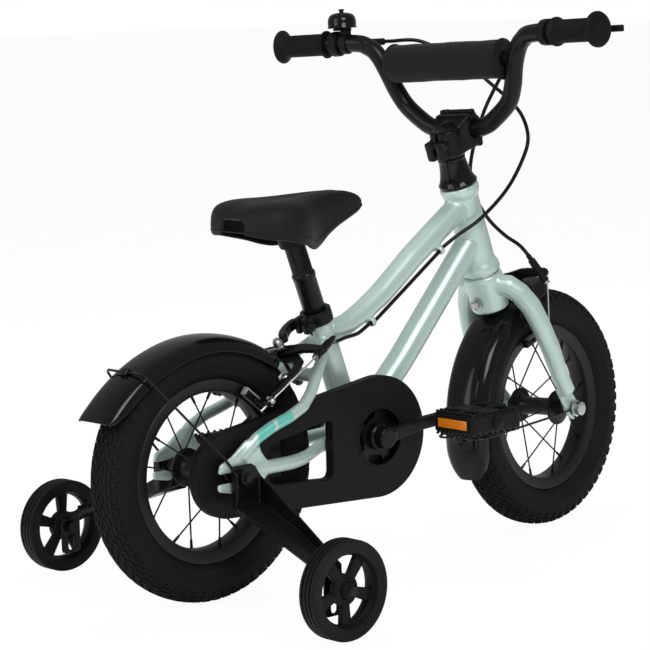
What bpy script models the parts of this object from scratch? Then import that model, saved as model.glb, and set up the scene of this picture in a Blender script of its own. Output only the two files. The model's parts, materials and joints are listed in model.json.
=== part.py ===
"""A child's 12 inch bicycle with stabilisers, as separate solids that come apart as on a bench.

Metres, +Z up, +X forwards, +Y to the rider's left. The origin is where the rear tyre meets the
ground. Points written with at() are measured from the rear axle's height, so the whole bicycle
follows the wheel size. The front assembly is drawn straight ahead and then turned about the
steering axis by STEER_AT_REST.
"""

import math

import bmesh
import bpy
from mathutils import Matrix, Vector

# Driving dimensions
GAP = 0.0003
WHEEL_RADIUS = 0.1525
TYRE_WIDTH = 0.0506
TYRE_HEIGHT = 0.0455
TREAD_WIDTH = 0.022
WHEEL_SIDES = 24
RIM_WIDTH = 0.030
RIM_DEPTH = 0.0155
SPOKE_COUNT = 16
SPOKE_RADIUS = 0.0011
WHEELBASE = 0.571
AXLE_RADIUS = 0.0047
STEER_AT_REST = math.radians(7.0)

HEAD_ANGLE = math.radians(71.0)
HEAD_CENTRE = (0.4445, 0.2425)
HEAD_LENGTH = 0.120
HEAD_RADIUS = 0.0245
HEAD_WAIST_RADIUS = 0.0205
STEERER_RADIUS = 0.0143
BEARING_RADIUS = 0.0208
BEARING_HEIGHT = 0.0068
HEADSET_GAP = 0.0022

SEAT_ANGLE = math.radians(69.7)
SEAT_TUBE_LENGTH = 0.158
SEAT_TUBE_RADIUS = 0.0158
SEAT_POST_RADIUS = 0.0136
SEAT_POST_INSERTION = 0.080
SEAT_POST_LENGTH = 0.198
SEAT_CLAMP_HEIGHT = 0.017
SEAT_CLAMP_WALL = 0.0034

CRANK_AXIS = (0.236, 0.012)
CRANK_SHELL_WIDTH = 0.068
CRANK_SHELL_RADIUS = 0.0200
CRANK_SHELL_BORE = 0.0172
SPINDLE_RADIUS = 0.0085
CRANK_LENGTH = 0.089
CRANK_ANGLE = math.radians(11.4)
CRANK_BOSS_RADIUS = 0.0135
CRANK_BOSS_INNER = 0.0500
CRANK_BOSS_OUTER = 0.0640
CRANK_ARM_RADIUS = 0.0078
PEDAL_EYE_Y = 0.0780
PEDAL_EYE_WIDTH = 0.0130
PEDAL_LENGTH = 0.084
PEDAL_WIDTH = 0.066
PEDAL_HEIGHT = 0.026

DOWN_TUBE_RADIUS = 0.0165
TOP_TUBE_RADIUS = 0.0150
SEAT_STAY_RADIUS = 0.0072
CHAIN_STAY_RADIUS = 0.0085
DROPOUT_THICKNESS = 0.005
REAR_HUB_WIDTH = 0.112
FRONT_HUB_WIDTH = 0.100
FORK_END_THICKNESS = 0.0055
EYE_THICKNESS = 0.0032

CHAIN_PITCH = 0.0127
CHAINRING_TEETH = 30
SPROCKET_TEETH = 15
CHAIN_LINE = 0.0410
CHAIN_INNER_WIDTH = 0.0040
CHAIN_PLATE = 0.0012
CHAIN_PLATE_HEIGHT = 0.0086
TOOTH_THICKNESS = 0.0022

CASE_OUTER_FACE = 0.0480
CASE_INNER_FACE = 0.0343
CASE_WALL = 0.0015
CASE_FRONT_CLEARANCE = 0.0084
CASE_REAR_CLEARANCE = 0.0152
CASE_CRANK_HOLE = 0.0340
CASE_WINDOW_MARGIN = 0.0105

GUARD_CLEARANCE = 0.0060
GUARD_WALL = 0.0016
GUARD_WIDTH = 0.060
GUARD_DEPTH = 0.016

FORK_CROWN_RADIUS = 0.0250
FORK_CROWN_HEIGHT = 0.048
FORK_LEG_TOP_RADIUS = 0.0140
FORK_LEG_END_RADIUS = 0.0105
STEM_HEIGHT = 0.036
STEM_RADIUS = 0.0190
STEM_CLAMP_WIDTH = 0.052
STEM_REACH = 0.0298
STEM_RISE = 0.0245
STEM_CLAMP_HEIGHT = 0.042
CONE_HEIGHT = 0.0364
BAR_RADIUS = 0.0110
CROSSBAR_RADIUS = 0.0080
PAD_RADIUS = 0.0245
PAD_LENGTH = 0.170
GRIP_RADIUS = 0.0137
GRIP_FLANGE_RADIUS = 0.0213
GRIP_LENGTH = 0.072
BAR_END = 0.102
BELL_RADIUS = 0.0180

BRAKE_BOLT_RADIUS = 0.0030
BRAKE_ARM_THICKNESS = 0.0055
BRAKE_ARM_Y = 0.0380
BRAKE_PAD = (0.042, 0.0085, 0.0095)
PAD_TO_RIM = 0.0016
CABLE_RADIUS = 0.0024
WIRE_RADIUS = 0.0009
STAY_WIRE_RADIUS = 0.0015

STABILISER_RADIUS = 0.0558
STABILISER_WIDTH = 0.0225
STABILISER_X = -0.0176
STABILISER_Y = 0.2528
STABILISER_SIDES = 16
STABILISER_AXLE_RADIUS = 0.0040
STABILISER_WEB = 0.0080
STABILISER_RIM_DEPTH = 0.0178
STABILISER_SPOKES = 5
STABILISER_SPOKE_WIDTH = 0.0104
STABILISER_ADJUST = 0.0245
BRACKET_THICKNESS = 0.003

# Colours of the photographed finishes
MINT = (0.36, 0.54, 0.50, 1.0)
BLACK = (0.012, 0.012, 0.013, 1.0)
RUBBER = (0.018, 0.018, 0.019, 1.0)
STEEL = (0.55, 0.55, 0.56, 1.0)

BIKE = None
CUTTERS = None


def mm(length):
    return length * 1000.0


# Millimetres left between pieces that touch
SLIP = mm(GAP)


def at(x, y, z):
    """A point from millimetres: x and z from the rear axle, y from the middle plane."""
    return Vector((x / 1000.0, y / 1000.0, WHEEL_RADIUS + z / 1000.0))


HEAD_UP = Vector((-math.cos(HEAD_ANGLE), 0.0, math.sin(HEAD_ANGLE)))
HEAD_FORWARD = Vector((math.sin(HEAD_ANGLE), 0.0, math.cos(HEAD_ANGLE)))
SEAT_UP = Vector((-math.cos(SEAT_ANGLE), 0.0, math.sin(SEAT_ANGLE)))
SEAT_BACK = Vector((-math.sin(SEAT_ANGLE), 0.0, -math.cos(SEAT_ANGLE)))
SIDEWAYS = Vector((0.0, 1.0, 0.0))
REAR_AXLE = Vector((0.0, 0.0, WHEEL_RADIUS))
FRONT_AXLE = Vector((WHEELBASE, 0.0, WHEEL_RADIUS))
CRANK_CENTRE = Vector((CRANK_AXIS[0], 0.0, WHEEL_RADIUS + CRANK_AXIS[1]))
HEAD_MIDDLE = Vector((HEAD_CENTRE[0], 0.0, WHEEL_RADIUS + HEAD_CENTRE[1]))
CHAINRING_PITCH_RADIUS = CHAIN_PITCH / 2.0 / math.sin(math.pi / CHAINRING_TEETH)
SPROCKET_PITCH_RADIUS = CHAIN_PITCH / 2.0 / math.sin(math.pi / SPROCKET_TEETH)


def head(forward, y, up):
    """A point by millimetres ahead of the steering axis, to the left, and up along the axis."""
    return HEAD_MIDDLE + (HEAD_FORWARD * forward + SIDEWAYS * y + HEAD_UP * up) / 1000.0


def seat(up, back=0.0, y=0.0):
    """A point by millimetres up the seat tube from the crank axis, behind it, and to the left."""
    return CRANK_CENTRE + (SEAT_UP * up + SEAT_BACK * back + SIDEWAYS * y) / 1000.0


def clear_scene():
    for obj in list(bpy.data.objects):
        bpy.data.objects.remove(obj, do_unlink=True)


def finish(obj, colour, roughness, metallic=0.0):
    """Gives the piece a material of its own."""
    made = bpy.data.materials.new(obj.name + " finish")
    made.use_nodes = True
    shader = made.node_tree.nodes["Principled BSDF"]
    shader.inputs["Base Color"].default_value = colour
    shader.inputs["Roughness"].default_value = roughness
    shader.inputs["Metallic"].default_value = metallic
    made.diffuse_color = colour
    obj.data.shade_smooth()
    obj.data.set_sharp_from_angle(angle=math.radians(35.0))
    obj.data.materials.clear()
    obj.data.materials.append(made)
    return obj


def placed(name, mesh):
    obj = bpy.data.objects.new(name, mesh)
    BIKE.objects.link(obj)
    return obj


def settle(obj):
    """Applies the modifiers, or makes a curve into a mesh, and merges doubled points."""
    matrix = obj.matrix_basis.copy()
    graph = bpy.context.evaluated_depsgraph_get()
    mesh = bpy.data.meshes.new_from_object(obj.evaluated_get(graph))
    edit = bmesh.new()
    edit.from_mesh(mesh)
    bmesh.ops.remove_doubles(edit, verts=edit.verts, dist=0.000002)
    bmesh.ops.recalc_face_normals(edit, faces=edit.faces)
    edit.to_mesh(mesh)
    edit.free()
    name = obj.name
    if obj.type == "CURVE":
        bpy.data.objects.remove(obj, do_unlink=True)
        obj = placed(name, mesh)
    else:
        obj.modifiers.clear()
        obj.data = mesh
    obj.matrix_basis = matrix
    return obj


def axis_frame(origin, axis, side=SIDEWAYS):
    """A matrix whose Z runs along the axis, with X as near to side as it can be."""
    along = Vector(axis).normalized()
    across = side - along * side.dot(along)
    if across.length < 0.001:
        across = Vector((1.0, 0.0, 0.0)) - along * along.x
    across.normalize()
    matrix = Matrix((across, along.cross(across), along)).transposed().to_4x4()
    matrix.translation = origin
    return matrix


def upright(y, origin=Vector((0.0, 0.0, 0.0))):
    """Local X and Y lie along world X and Z, at the distance y to the left."""
    turn = Matrix.Rotation(math.radians(90.0), 4, "X")
    return Matrix.Translation(origin + SIDEWAYS * y) @ turn


def turned(name, profile, sides, origin, axis, closed=False, half_step=False):
    """A turned piece: the profile is (radius, distance along the axis) in millimetres."""
    points = [(radius / 1000.0, 0.0, along / 1000.0) for radius, along in profile]
    edges = [(i, i + 1) for i in range(len(points) - 1)]
    if closed:
        edges.append((len(points) - 1, 0))
    mesh = bpy.data.meshes.new(name)
    mesh.from_pydata(points, edges, [])
    obj = placed(name, mesh)
    screw = obj.modifiers.new("turned", "SCREW")
    screw.steps = sides
    screw.render_steps = sides
    screw.use_merge_vertices = True
    screw.merge_threshold = 0.00001
    obj = settle(obj)
    if half_step:
        obj.data.transform(Matrix.Rotation(math.pi / sides, 4, "Z"))
    obj.matrix_world = axis_frame(origin, axis)
    return obj


def rod(name, first, last, radius, sides=12):
    """A plain round bar between two points, its radius in millimetres."""
    along = last - first
    mesh = bpy.data.meshes.new(name)
    edit = bmesh.new()
    bmesh.ops.create_cone(edit, cap_ends=True, segments=sides, radius1=radius / 1000.0,
                          radius2=radius / 1000.0, depth=along.length)
    edit.to_mesh(mesh)
    edit.free()
    obj = placed(name, mesh)
    obj.matrix_world = axis_frame(first + along / 2.0, along)
    return obj


def smooth(points, parts=3):
    """A curve through the points, with each gap split into parts."""
    found = []
    last = len(points) - 1
    for i in range(last):
        before = points[max(i - 1, 0)]
        here = points[i]
        there = points[i + 1]
        after = points[min(i + 2, last)]
        for part in range(parts):
            t = part / parts
            found.append(tuple(
                0.5 * (2 * b + (c - a) * t + (2 * a - 5 * b + 4 * c - d) * t * t
                       + (3 * b - a - 3 * c + d) * t * t * t)
                for a, b, c, d in zip(before, here, there, after)))
    found.append(tuple(points[last]))
    return found


def bar(name, points, radii, sides=12):
    """A bent round bar or cord through the points, in metres."""
    if not isinstance(radii, (list, tuple)):
        radii = [radii] * len(points)
    curve = bpy.data.curves.new(name, "CURVE")
    curve.dimensions = "3D"
    curve.bevel_mode = "ROUND"
    curve.bevel_depth = 0.001
    curve.bevel_resolution = (sides - 4) // 2
    curve.use_fill_caps = True
    spline = curve.splines.new("POLY")
    spline.points.add(len(points) - 1)
    for point, place, radius in zip(spline.points, points, radii):
        point.co = (place[0], place[1], place[2], 1.0)
        point.radius = radius
    return settle(placed(name, curve))


def plate(name, outlines, thickness, matrix):
    """A flat plate: outlines in millimetres, the first the edge and the others holes."""
    curve = bpy.data.curves.new(name, "CURVE")
    curve.dimensions = "2D"
    curve.fill_mode = "BOTH"
    curve.extrude = thickness / 2000.0
    for outline in outlines:
        spline = curve.splines.new("POLY")
        spline.points.add(len(outline) - 1)
        for point, (x, y) in zip(spline.points, outline):
            point.co = (x / 1000.0, y / 1000.0, 0.0, 1.0)
        spline.use_cyclic_u = True
    obj = settle(placed(name, curve))
    obj.matrix_world = matrix
    return obj


def block(name, size, matrix, chamfer=0.0):
    """A box of size millimetres about the matrix, with its edges chamfered."""
    mesh = bpy.data.meshes.new(name)
    edit = bmesh.new()
    bmesh.ops.create_cube(edit, size=1.0)
    bmesh.ops.scale(edit, verts=edit.verts, vec=[side / 1000.0 for side in size])
    edit.to_mesh(mesh)
    edit.free()
    obj = placed(name, mesh)
    if chamfer:
        bevel = obj.modifiers.new("chamfer", "BEVEL")
        bevel.width = chamfer / 1000.0
        bevel.segments = 1
        bevel.limit_method = "NONE"
    obj = settle(obj)
    obj.matrix_world = matrix
    return obj


def hull(name, points):
    """The tightest solid around the points, in metres."""
    mesh = bpy.data.meshes.new(name)
    edit = bmesh.new()
    for point in points:
        edit.verts.new(point)
    found = bmesh.ops.convex_hull(edit, input=edit.verts)
    loose = [item for item in found["geom_interior"] if isinstance(item, bmesh.types.BMVert)]
    bmesh.ops.delete(edit, geom=loose, context="VERTS")
    edit.to_mesh(mesh)
    edit.free()
    return settle(placed(name, mesh))


def skinned(name, rings, loop=False):
    """A solid skinned over closed rings of points in metres, each with as many points."""
    count = len(rings[0])
    points = [point for ring in rings for point in ring]
    faces = []
    spans = len(rings) if loop else len(rings) - 1
    for i in range(spans):
        first = i * count
        second = (i + 1) % len(rings) * count
        for j in range(count):
            k = (j + 1) % count
            faces.append((first + j, first + k, second + k, second + j))
    if not loop:
        faces.append(tuple(range(count)))
        faces.append(tuple(range(len(points) - count, len(points))))
    mesh = bpy.data.meshes.new(name)
    mesh.from_pydata(points, [], faces)
    return settle(placed(name, mesh))


def sheet(name, rows, thickness):
    """A shell of even thickness in millimetres, laid on rows of points in metres."""
    count = len(rows[0])
    points = [point for row in rows for point in row]
    faces = []
    for i in range(len(rows) - 1):
        for j in range(count - 1):
            first = i * count + j
            faces.append((first, first + 1, first + count + 1, first + count))
    mesh = bpy.data.meshes.new(name)
    mesh.from_pydata(points, [], faces)
    obj = placed(name, mesh)
    solid = obj.modifiers.new("wall", "SOLIDIFY")
    solid.thickness = abs(thickness) / 1000.0
    solid.offset = 1.0 if thickness > 0 else -1.0
    solid.use_even_offset = True
    return settle(obj)


def combine(obj, others, operation):
    """Joins the others to the piece or cuts them from it, and clears them away."""
    group = bpy.data.collections.new(obj.name + " operands")
    group.hide_render = True
    CUTTERS.children.link(group)
    for other in others:
        BIKE.objects.unlink(other)
        group.objects.link(other)
        other.display_type = "WIRE"
    boolean = obj.modifiers.new(operation.lower(), "BOOLEAN")
    boolean.operation = operation
    boolean.solver = "EXACT"
    boolean.operand_type = "COLLECTION"
    boolean.collection = group
    obj = settle(obj)
    for other in others:
        bpy.data.objects.remove(other, do_unlink=True)
    bpy.data.collections.remove(group)
    return obj


def join(obj, others):
    return combine(obj, others, "UNION")


def cut(obj, others):
    return combine(obj, others, "DIFFERENCE")


def ribbon(points, widths, ends=5):
    """The outline of a strip along the points, with half widths and rounded ends."""
    left = []
    right = []
    last = len(points) - 1
    headings = []
    for i, (x, y) in enumerate(points):
        x0, y0 = points[max(i - 1, 0)]
        x1, y1 = points[min(i + 1, last)]
        heading = math.atan2(y1 - y0, x1 - x0)
        headings.append(heading)
        across = heading + math.pi / 2.0
        left.append((x + widths[i] * math.cos(across), y + widths[i] * math.sin(across)))
        right.append((x - widths[i] * math.cos(across), y - widths[i] * math.sin(across)))
    far = []
    near = []
    for step in range(1, ends):
        turn = math.pi / 2.0 - math.pi * step / ends
        angle = headings[last] + turn
        far.append((points[last][0] + widths[last] * math.cos(angle),
                    points[last][1] + widths[last] * math.sin(angle)))
        angle = headings[0] + math.pi + turn
        near.append((points[0][0] + widths[0] * math.cos(angle),
                     points[0][1] + widths[0] * math.sin(angle)))
    return left + far + right[::-1] + near


def circle(x, y, radius, sides=16):
    return [(x + radius * math.cos(math.tau * i / sides), y + radius * math.sin(math.tau * i / sides))
            for i in range(sides)]


def rounded(points, radius, steps=3):
    """The polygon with each corner rounded by a few short edges."""
    found = []
    count = len(points)
    for i in range(count):
        corner = Vector(points[i])
        before = (Vector(points[i - 1]) - corner)
        after = (Vector(points[(i + 1) % count]) - corner)
        reach = min(radius, before.length * 0.45, after.length * 0.45)
        first = corner + before.normalized() * reach
        last = corner + after.normalized() * reach
        for step in range(steps + 1):
            t = step / steps
            place = first * (1 - t) ** 2 + corner * 2 * t * (1 - t) + last * t ** 2
            found.append((place.x, place.y))
    return found


def tapered(path, radii, parts):
    """The path smoothed, with its radii."""
    found = smooth([tuple(place) + (radius,) for place, radius in zip(path, radii)], parts)
    return [place[:3] for place in found], [place[3] for place in found]


def frame():
    half = mm(HEAD_LENGTH) / 2.0
    collar = mm(HEAD_RADIUS)
    waist = mm(HEAD_WAIST_RADIUS)
    head_tube = turned("frame", [
        (0.0, -half), (collar, -half), (collar, 10.0 - half), (waist, 17.0 - half),
        (waist, half - 17.0), (collar, half - 10.0), (collar, half), (0.0, half)],
        16, HEAD_MIDDLE, HEAD_UP)
    tube = mm(SEAT_TUBE_RADIUS)
    pieces = [rod("seat tube", seat(0), seat(mm(SEAT_TUBE_LENGTH)), tube, 12)]
    shell = mm(CRANK_SHELL_WIDTH) / 2.0
    pieces.append(rod("crank shell", CRANK_CENTRE - SIDEWAYS * shell / 1000.0,
                      CRANK_CENTRE + SIDEWAYS * shell / 1000.0, mm(CRANK_SHELL_RADIUS), 12))
    top = mm(TOP_TUBE_RADIUS)
    path = [head(0.0, 0.0, half - 23.5), head(-23.3, 0.0, half - 30.0), at(339.4, 0, 214.5),
            at(286.3, 0, 174.7), at(228.5, 0, 144.2), seat(mm(SEAT_TUBE_LENGTH) - 22.0, 0.0)]
    pieces.append(bar("top tube", *tapered(path, [top + 0.5, top + 0.5, top, top - 0.7, top - 2.0,
                                                  top - 2.5], 2), 12))
    down = mm(DOWN_TUBE_RADIUS)
    path = [head(2.0, 0.0, 49.0 - half), head(-12.9, 0.0, 41.7 - half), at(318.9, 0, 91), CRANK_CENTRE]
    pieces.append(bar("down tube", path, down, 12))
    stay = mm(SEAT_STAY_RADIUS)
    chain_stay = mm(CHAIN_STAY_RADIUS)
    inner = mm(REAR_HUB_WIDTH) / 2.0
    thick = mm(DROPOUT_THICKNESS)
    slot_half = mm(AXLE_RADIUS) + 0.7
    for side in (-1, 1):
        path = [at(7, side * (inner + 2.5), 19), at(30, side * (inner + 4), 39.5),
                at(55, side * (inner + 5), 50.5), at(80, side * (inner + 4.5), 57.5),
                at(105, side * (inner + 1.5), 66.5), at(125, side * (inner - 6.5), 79.5),
                at(146, side * (inner - 18.5), 98), at(165, side * 26, 113.5),
                seat(mm(SEAT_TUBE_LENGTH) - 31.9, 15.2, side * 14.0),
                seat(mm(SEAT_TUBE_LENGTH) - 28.8, 3.4, side * 7.0)]
        pieces.append(bar("seat stay", path, [stay - 1.0] + [stay] * 9, 8))
        path = [at(18, side * (inner + 0.5), 3), at(50, side * (inner + 2.5), 4),
                at(85, side * (inner - 1), 3), at(105, side * (inner - 7), 3),
                at(125, side * 40.5, 4), at(143, side * 31.8, 6), at(158, side * 25, 8),
                CRANK_CENTRE + Vector((-0.056, side * 0.022, -0.002)),
                CRANK_CENTRE + Vector((-0.021, side * 0.021, 0.0))]
        thin = chain_stay - 0.8
        radii = [chain_stay - 2.5, chain_stay, chain_stay, chain_stay - SLIP, thin, thin, thin,
                 chain_stay, chain_stay]
        pieces.append(bar("chain stay", path, radii, 8))
        slot = [(-27, slot_half), (1.5, slot_half), (slot_half, 1.5), (slot_half, -1.5),
                (1.5, -slot_half), (-28, -slot_half)]
        edge = [(16, 40), (-7, 23), (-24, 16)] + slot + [
            (-27, -15), (-5, -19), (20, -14), (44, -8), (46, 13), (38, 23), (32, 38)]
        pieces.append(plate("dropout", [edge], thick,
                            upright(side * (inner + thick / 2.0) / 1000.0, REAR_AXLE)))
    span = SIDEWAYS * (inner - 18.0) / 1000.0
    pieces.append(rod("bridge", REAR_BOLT_FOOT - span, REAR_BOLT_FOOT + span, 8.0, 12))
    for place, along in CABLE_CLIPS:
        pieces.append(rod("cable guide", at(*place) - along * 0.004, at(*place) + along * 0.004,
                          mm(CABLE_RADIUS) + 3.6, 8))
    body = join(head_tube, pieces)
    seat_depth = mm(BEARING_HEIGHT) + SLIP
    bearing = mm(BEARING_RADIUS) + SLIP
    bore = mm(STEERER_RADIUS) + 1.0
    cutters = [turned("head bore", [
        (0.0, -half - 5), (bearing, -half - 5), (bearing, seat_depth - half),
        (bore, seat_depth - half), (bore, half - seat_depth), (bearing, half - seat_depth),
        (bearing, half + 5), (0.0, half + 5)], 16, HEAD_MIDDLE, HEAD_UP)]
    cutters.append(rod("seat bore", seat(28), seat(mm(SEAT_TUBE_LENGTH) + 10),
                       mm(SEAT_POST_RADIUS) + SLIP, 12))
    cutters.append(rod("crank bore", CRANK_CENTRE - SIDEWAYS * 0.05, CRANK_CENTRE + SIDEWAYS * 0.05,
                       mm(CRANK_SHELL_BORE), 12))
    cutters.append(rod("bolt hole", REAR_BOLT_FOOT - REAR_BOLT_AXIS * 0.02,
                       REAR_BOLT_FOOT + REAR_BOLT_AXIS * 0.02, mm(BRAKE_BOLT_RADIUS) + SLIP, 8))
    slot = axis_frame(seat(mm(SEAT_TUBE_LENGTH), 14.0), SEAT_UP)
    cutters.append(block("seat slot", (2.6, 12.0, 40.0), slot))
    for place, along in CABLE_CLIPS:
        cutters.append(rod("cable hole", at(*place) - along * 0.012, at(*place) + along * 0.012,
                           mm(CABLE_RADIUS) + 0.8, 8))
    return finish(cut(body, cutters), MINT, 0.35, 0.6)


def head_bearings():
    found = []
    for name, side in (("head_bearing_upper", 1), ("head_bearing_lower", -1)):
        foot = mm(HEAD_LENGTH) / 2.0 - mm(BEARING_HEIGHT)
        tip = mm(HEAD_LENGTH) / 2.0 + mm(HEADSET_GAP) - SLIP
        inner = mm(STEERER_RADIUS) + SLIP
        outer = mm(BEARING_RADIUS)
        ring = turned(name, [(inner, foot), (outer, foot), (outer, tip), (inner, tip)], 16,
                      HEAD_MIDDLE, HEAD_UP * side, closed=True)
        found.append(finish(ring, BLACK, 0.4))
    return found


def bottom_bracket():
    half = mm(CRANK_SHELL_WIDTH) / 2.0
    body = mm(CRANK_SHELL_BORE) - SLIP
    inner = mm(SPINDLE_RADIUS) + SLIP
    plate_end = half + SLIP + mm(CASE_WALL) + SLIP
    ring = turned("bottom_bracket", [
        (inner, -half - 1.5), (body + 1.9, -half - 1.5), (body + 1.9, -half - SLIP),
        (body, -half - SLIP), (body, plate_end), (body + 1.9, plate_end),
        (body + 1.9, plate_end + 1.5), (inner, plate_end + 1.5)],
        12, CRANK_CENTRE, -SIDEWAYS, closed=True)
    return finish(ring, BLACK, 0.4)


def seat_clamp():
    top = mm(SEAT_TUBE_LENGTH)
    tube = mm(SEAT_TUBE_RADIUS) + SLIP
    wall = tube + mm(SEAT_CLAMP_WALL)
    post = mm(SEAT_POST_RADIUS) + SLIP
    foot = top - 9.0
    tip = foot + mm(SEAT_CLAMP_HEIGHT)
    collar = turned("seat_clamp", [
        (0.0, foot), (wall - 0.8, foot), (wall, foot + 1.0), (wall, tip - 1.0),
        (wall - 0.8, tip), (0.0, tip)], 12, CRANK_CENTRE, SEAT_UP)
    ears = [block("ear", (8.0, 13.0, 19.0), axis_frame(seat(foot + 7.5, 22.0, y), SEAT_UP))
            for y in (-6.5, 6.5)]
    bolt = rod("clamp bolt", seat(foot + 7.5, 23.5, -17.0), seat(foot + 7.5, 23.5, 12.5), 2.6, 8)
    nut = rod("clamp nut", seat(foot + 7.5, 23.5, -17.5), seat(foot + 7.5, 23.5, -12.0), 5.2, 8)
    body = join(collar, ears + [bolt, nut])
    cutters = [rod("tube hole", seat(foot - 5.0), seat(top + SLIP), tube, 12),
               rod("post hole", seat(foot - 5.0), seat(tip + 5.0), post, 12),
               block("clamp slot", (5.0, 20.0, 30.0),
                     axis_frame(seat(foot + 7.5, 29.0), SEAT_UP))]
    return finish(cut(body, cutters), BLACK, 0.35)


def seat_clamp_lever():
    foot = mm(SEAT_TUBE_LENGTH) - 1.5
    pivot = axis_frame(seat(foot, 23.5, 18.0), SEAT_UP)
    blade = ribbon([(0.0, 0.0), (-2.5, 12.0), (-9.0, 24.0), (-17.0, 33.0)], [4.6, 4.0, 4.5, 5.0], 4)
    lever = plate("seat_clamp_lever", [blade], 11.0, pivot)
    return finish(lever, BLACK, 0.35)


def loop_outline(rear, front, rear_steps, front_steps):
    """The outline round a circle on each axis, in millimetres from the rear axle."""
    reach = math.hypot(mm(CRANK_AXIS[0]), mm(CRANK_AXIS[1]))
    tilt = math.atan2(CRANK_AXIS[1], CRANK_AXIS[0])
    lean = math.acos((rear - front) / reach)
    points = []
    for i in range(front_steps + 1):
        angle = tilt - lean + 2.0 * lean * i / front_steps
        points.append((mm(CRANK_AXIS[0]) + front * math.cos(angle),
                       mm(CRANK_AXIS[1]) + front * math.sin(angle)))
    for i in range(rear_steps + 1):
        angle = tilt + lean + (math.tau - 2.0 * lean) * i / rear_steps
        points.append((rear * math.cos(angle), rear * math.sin(angle)))
    return points


def case_outline(grow):
    chain_half = mm(CHAIN_PLATE_HEIGHT) / 2.0
    rear = mm(SPROCKET_PITCH_RADIUS + CASE_REAR_CLEARANCE) + chain_half + grow
    front = mm(CHAINRING_PITCH_RADIUS + CASE_FRONT_CLEARANCE) + chain_half + grow
    return loop_outline(rear, front, 8, 11)


def window(grow):
    """The opening between the chain's two runs, from the tyre's front to short of the ring."""
    inner = mm(CHAIN_PLATE_HEIGHT) / 2.0 + mm(CASE_WINDOW_MARGIN) - grow
    rear = mm(SPROCKET_PITCH_RADIUS) - inner
    front = mm(CHAINRING_PITCH_RADIUS) - inner
    slope = (front - rear) / mm(CRANK_AXIS[0])
    tilt = CRANK_AXIS[1] / CRANK_AXIS[0]
    corners = [(x, x * tilt + side * (rear + x * slope)) for x, side in (
        (59.0 - grow, -1), (159.5 + grow, -1), (159.5 + grow, 1), (59.0 - grow, 1))]
    return rounded(corners, 10.0, 2)


def chain_case():
    """Two dished halves that meet near the chain line, with a window between the chain's runs."""
    wall = mm(CASE_WALL)
    split = mm(CHAIN_LINE)
    found = []
    for name, face, side, hole in (
            ("chain_case_outer", mm(CASE_OUTER_FACE), 1.0, mm(CASE_CRANK_HOLE)),
            ("chain_case_inner", mm(CASE_INNER_FACE), -1.0, mm(CRANK_SHELL_BORE) + SLIP)):
        rim = split + side * 0.15
        depth = abs(face - rim)
        middle = -(face + rim) / 2.0
        solid = plate(name, [case_outline(0.0), window(0.0)], depth, upright(middle / 1000.0, REAR_AXLE))
        pocket_middle = -(face - side * wall + rim - side * 5.0) / 2.0
        pocket = plate("pocket", [case_outline(-wall), window(wall)], depth - wall + 5.0,
                       upright(pocket_middle / 1000.0, REAR_AXLE))
        away = SIDEWAYS * 0.06
        crank_hole = rod("crank hole", CRANK_CENTRE - away, CRANK_CENTRE + away * 0.1, hole, 16)
        axle_hole = rod("axle hole", REAR_AXLE - away, REAR_AXLE + away * 0.1,
                        12.0 if side > 0 else 19.0, 12)
        found.append(finish(cut(solid, [pocket, crank_hole, axle_hole]), BLACK, 0.45))
    return found


def chain_path(offset):
    """Points of the chain's line, offset outwards."""
    return loop_outline(mm(SPROCKET_PITCH_RADIUS) + offset, mm(CHAINRING_PITCH_RADIUS) + offset, 8, 12)


def chain():
    """The chain as one closed band, open towards the teeth."""
    half = mm(CHAIN_PLATE_HEIGHT) / 2.0
    side = mm(CHAIN_INNER_WIDTH) / 2.0
    width = side + mm(CHAIN_PLATE)
    inner = chain_path(-half)
    web = chain_path(half - 2.2)
    outer = chain_path(half)
    line = mm(CHAIN_LINE)
    rings = []
    for low, mid, high in zip(inner, web, outer):
        rings.append([at(low[0], -line - width, low[1]), at(high[0], -line - width, high[1]),
                      at(high[0], -line + width, high[1]), at(low[0], -line + width, low[1]),
                      at(low[0], -line + side, low[1]), at(mid[0], -line + side, mid[1]),
                      at(mid[0], -line - side, mid[1]), at(low[0], -line - side, low[1])])
    return finish(skinned("chain", rings, loop=True), STEEL, 0.4, 0.8)


def toothed(teeth, pitch_radius):
    """The edge of a toothed wheel in millimetres."""
    found = []
    for tooth in range(teeth):
        for step, radius in ((0.0, 1.4), (0.5, -3.4)):
            angle = math.tau * (tooth + step) / teeth
            reach = mm(pitch_radius) + radius
            found.append((reach * math.cos(angle), reach * math.sin(angle)))
    return found


def chainring():
    windows = []
    for i in range(5):
        centre = math.tau * (i + 0.5) / 5.0
        windows.append([(radius * math.cos(centre + turn), radius * math.sin(centre + turn))
                        for radius, turn in ((24.0, -0.36), (50.0, -0.48), (50.0, 0.0),
                                             (50.0, 0.48), (24.0, 0.36))])
    matrix = upright(-CHAIN_LINE, CRANK_CENTRE) @ Matrix.Rotation(CRANK_ANGLE, 4, "Z")
    hole = circle(0.0, 0.0, mm(CRANK_BOSS_RADIUS) - 1.2, 16)
    ring = plate("chainring", [toothed(CHAINRING_TEETH, CHAINRING_PITCH_RADIUS), hole] + windows,
                 mm(TOOTH_THICKNESS), matrix)
    return finish(ring, BLACK, 0.35)


def sprocket():
    hole = circle(0.0, 0.0, 16.3, 16)
    ring = plate("rear_sprocket", [toothed(SPROCKET_TEETH, SPROCKET_PITCH_RADIUS), hole],
                 mm(TOOTH_THICKNESS), upright(-CHAIN_LINE, REAR_AXLE))
    return finish(ring, BLACK, 0.35)


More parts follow.
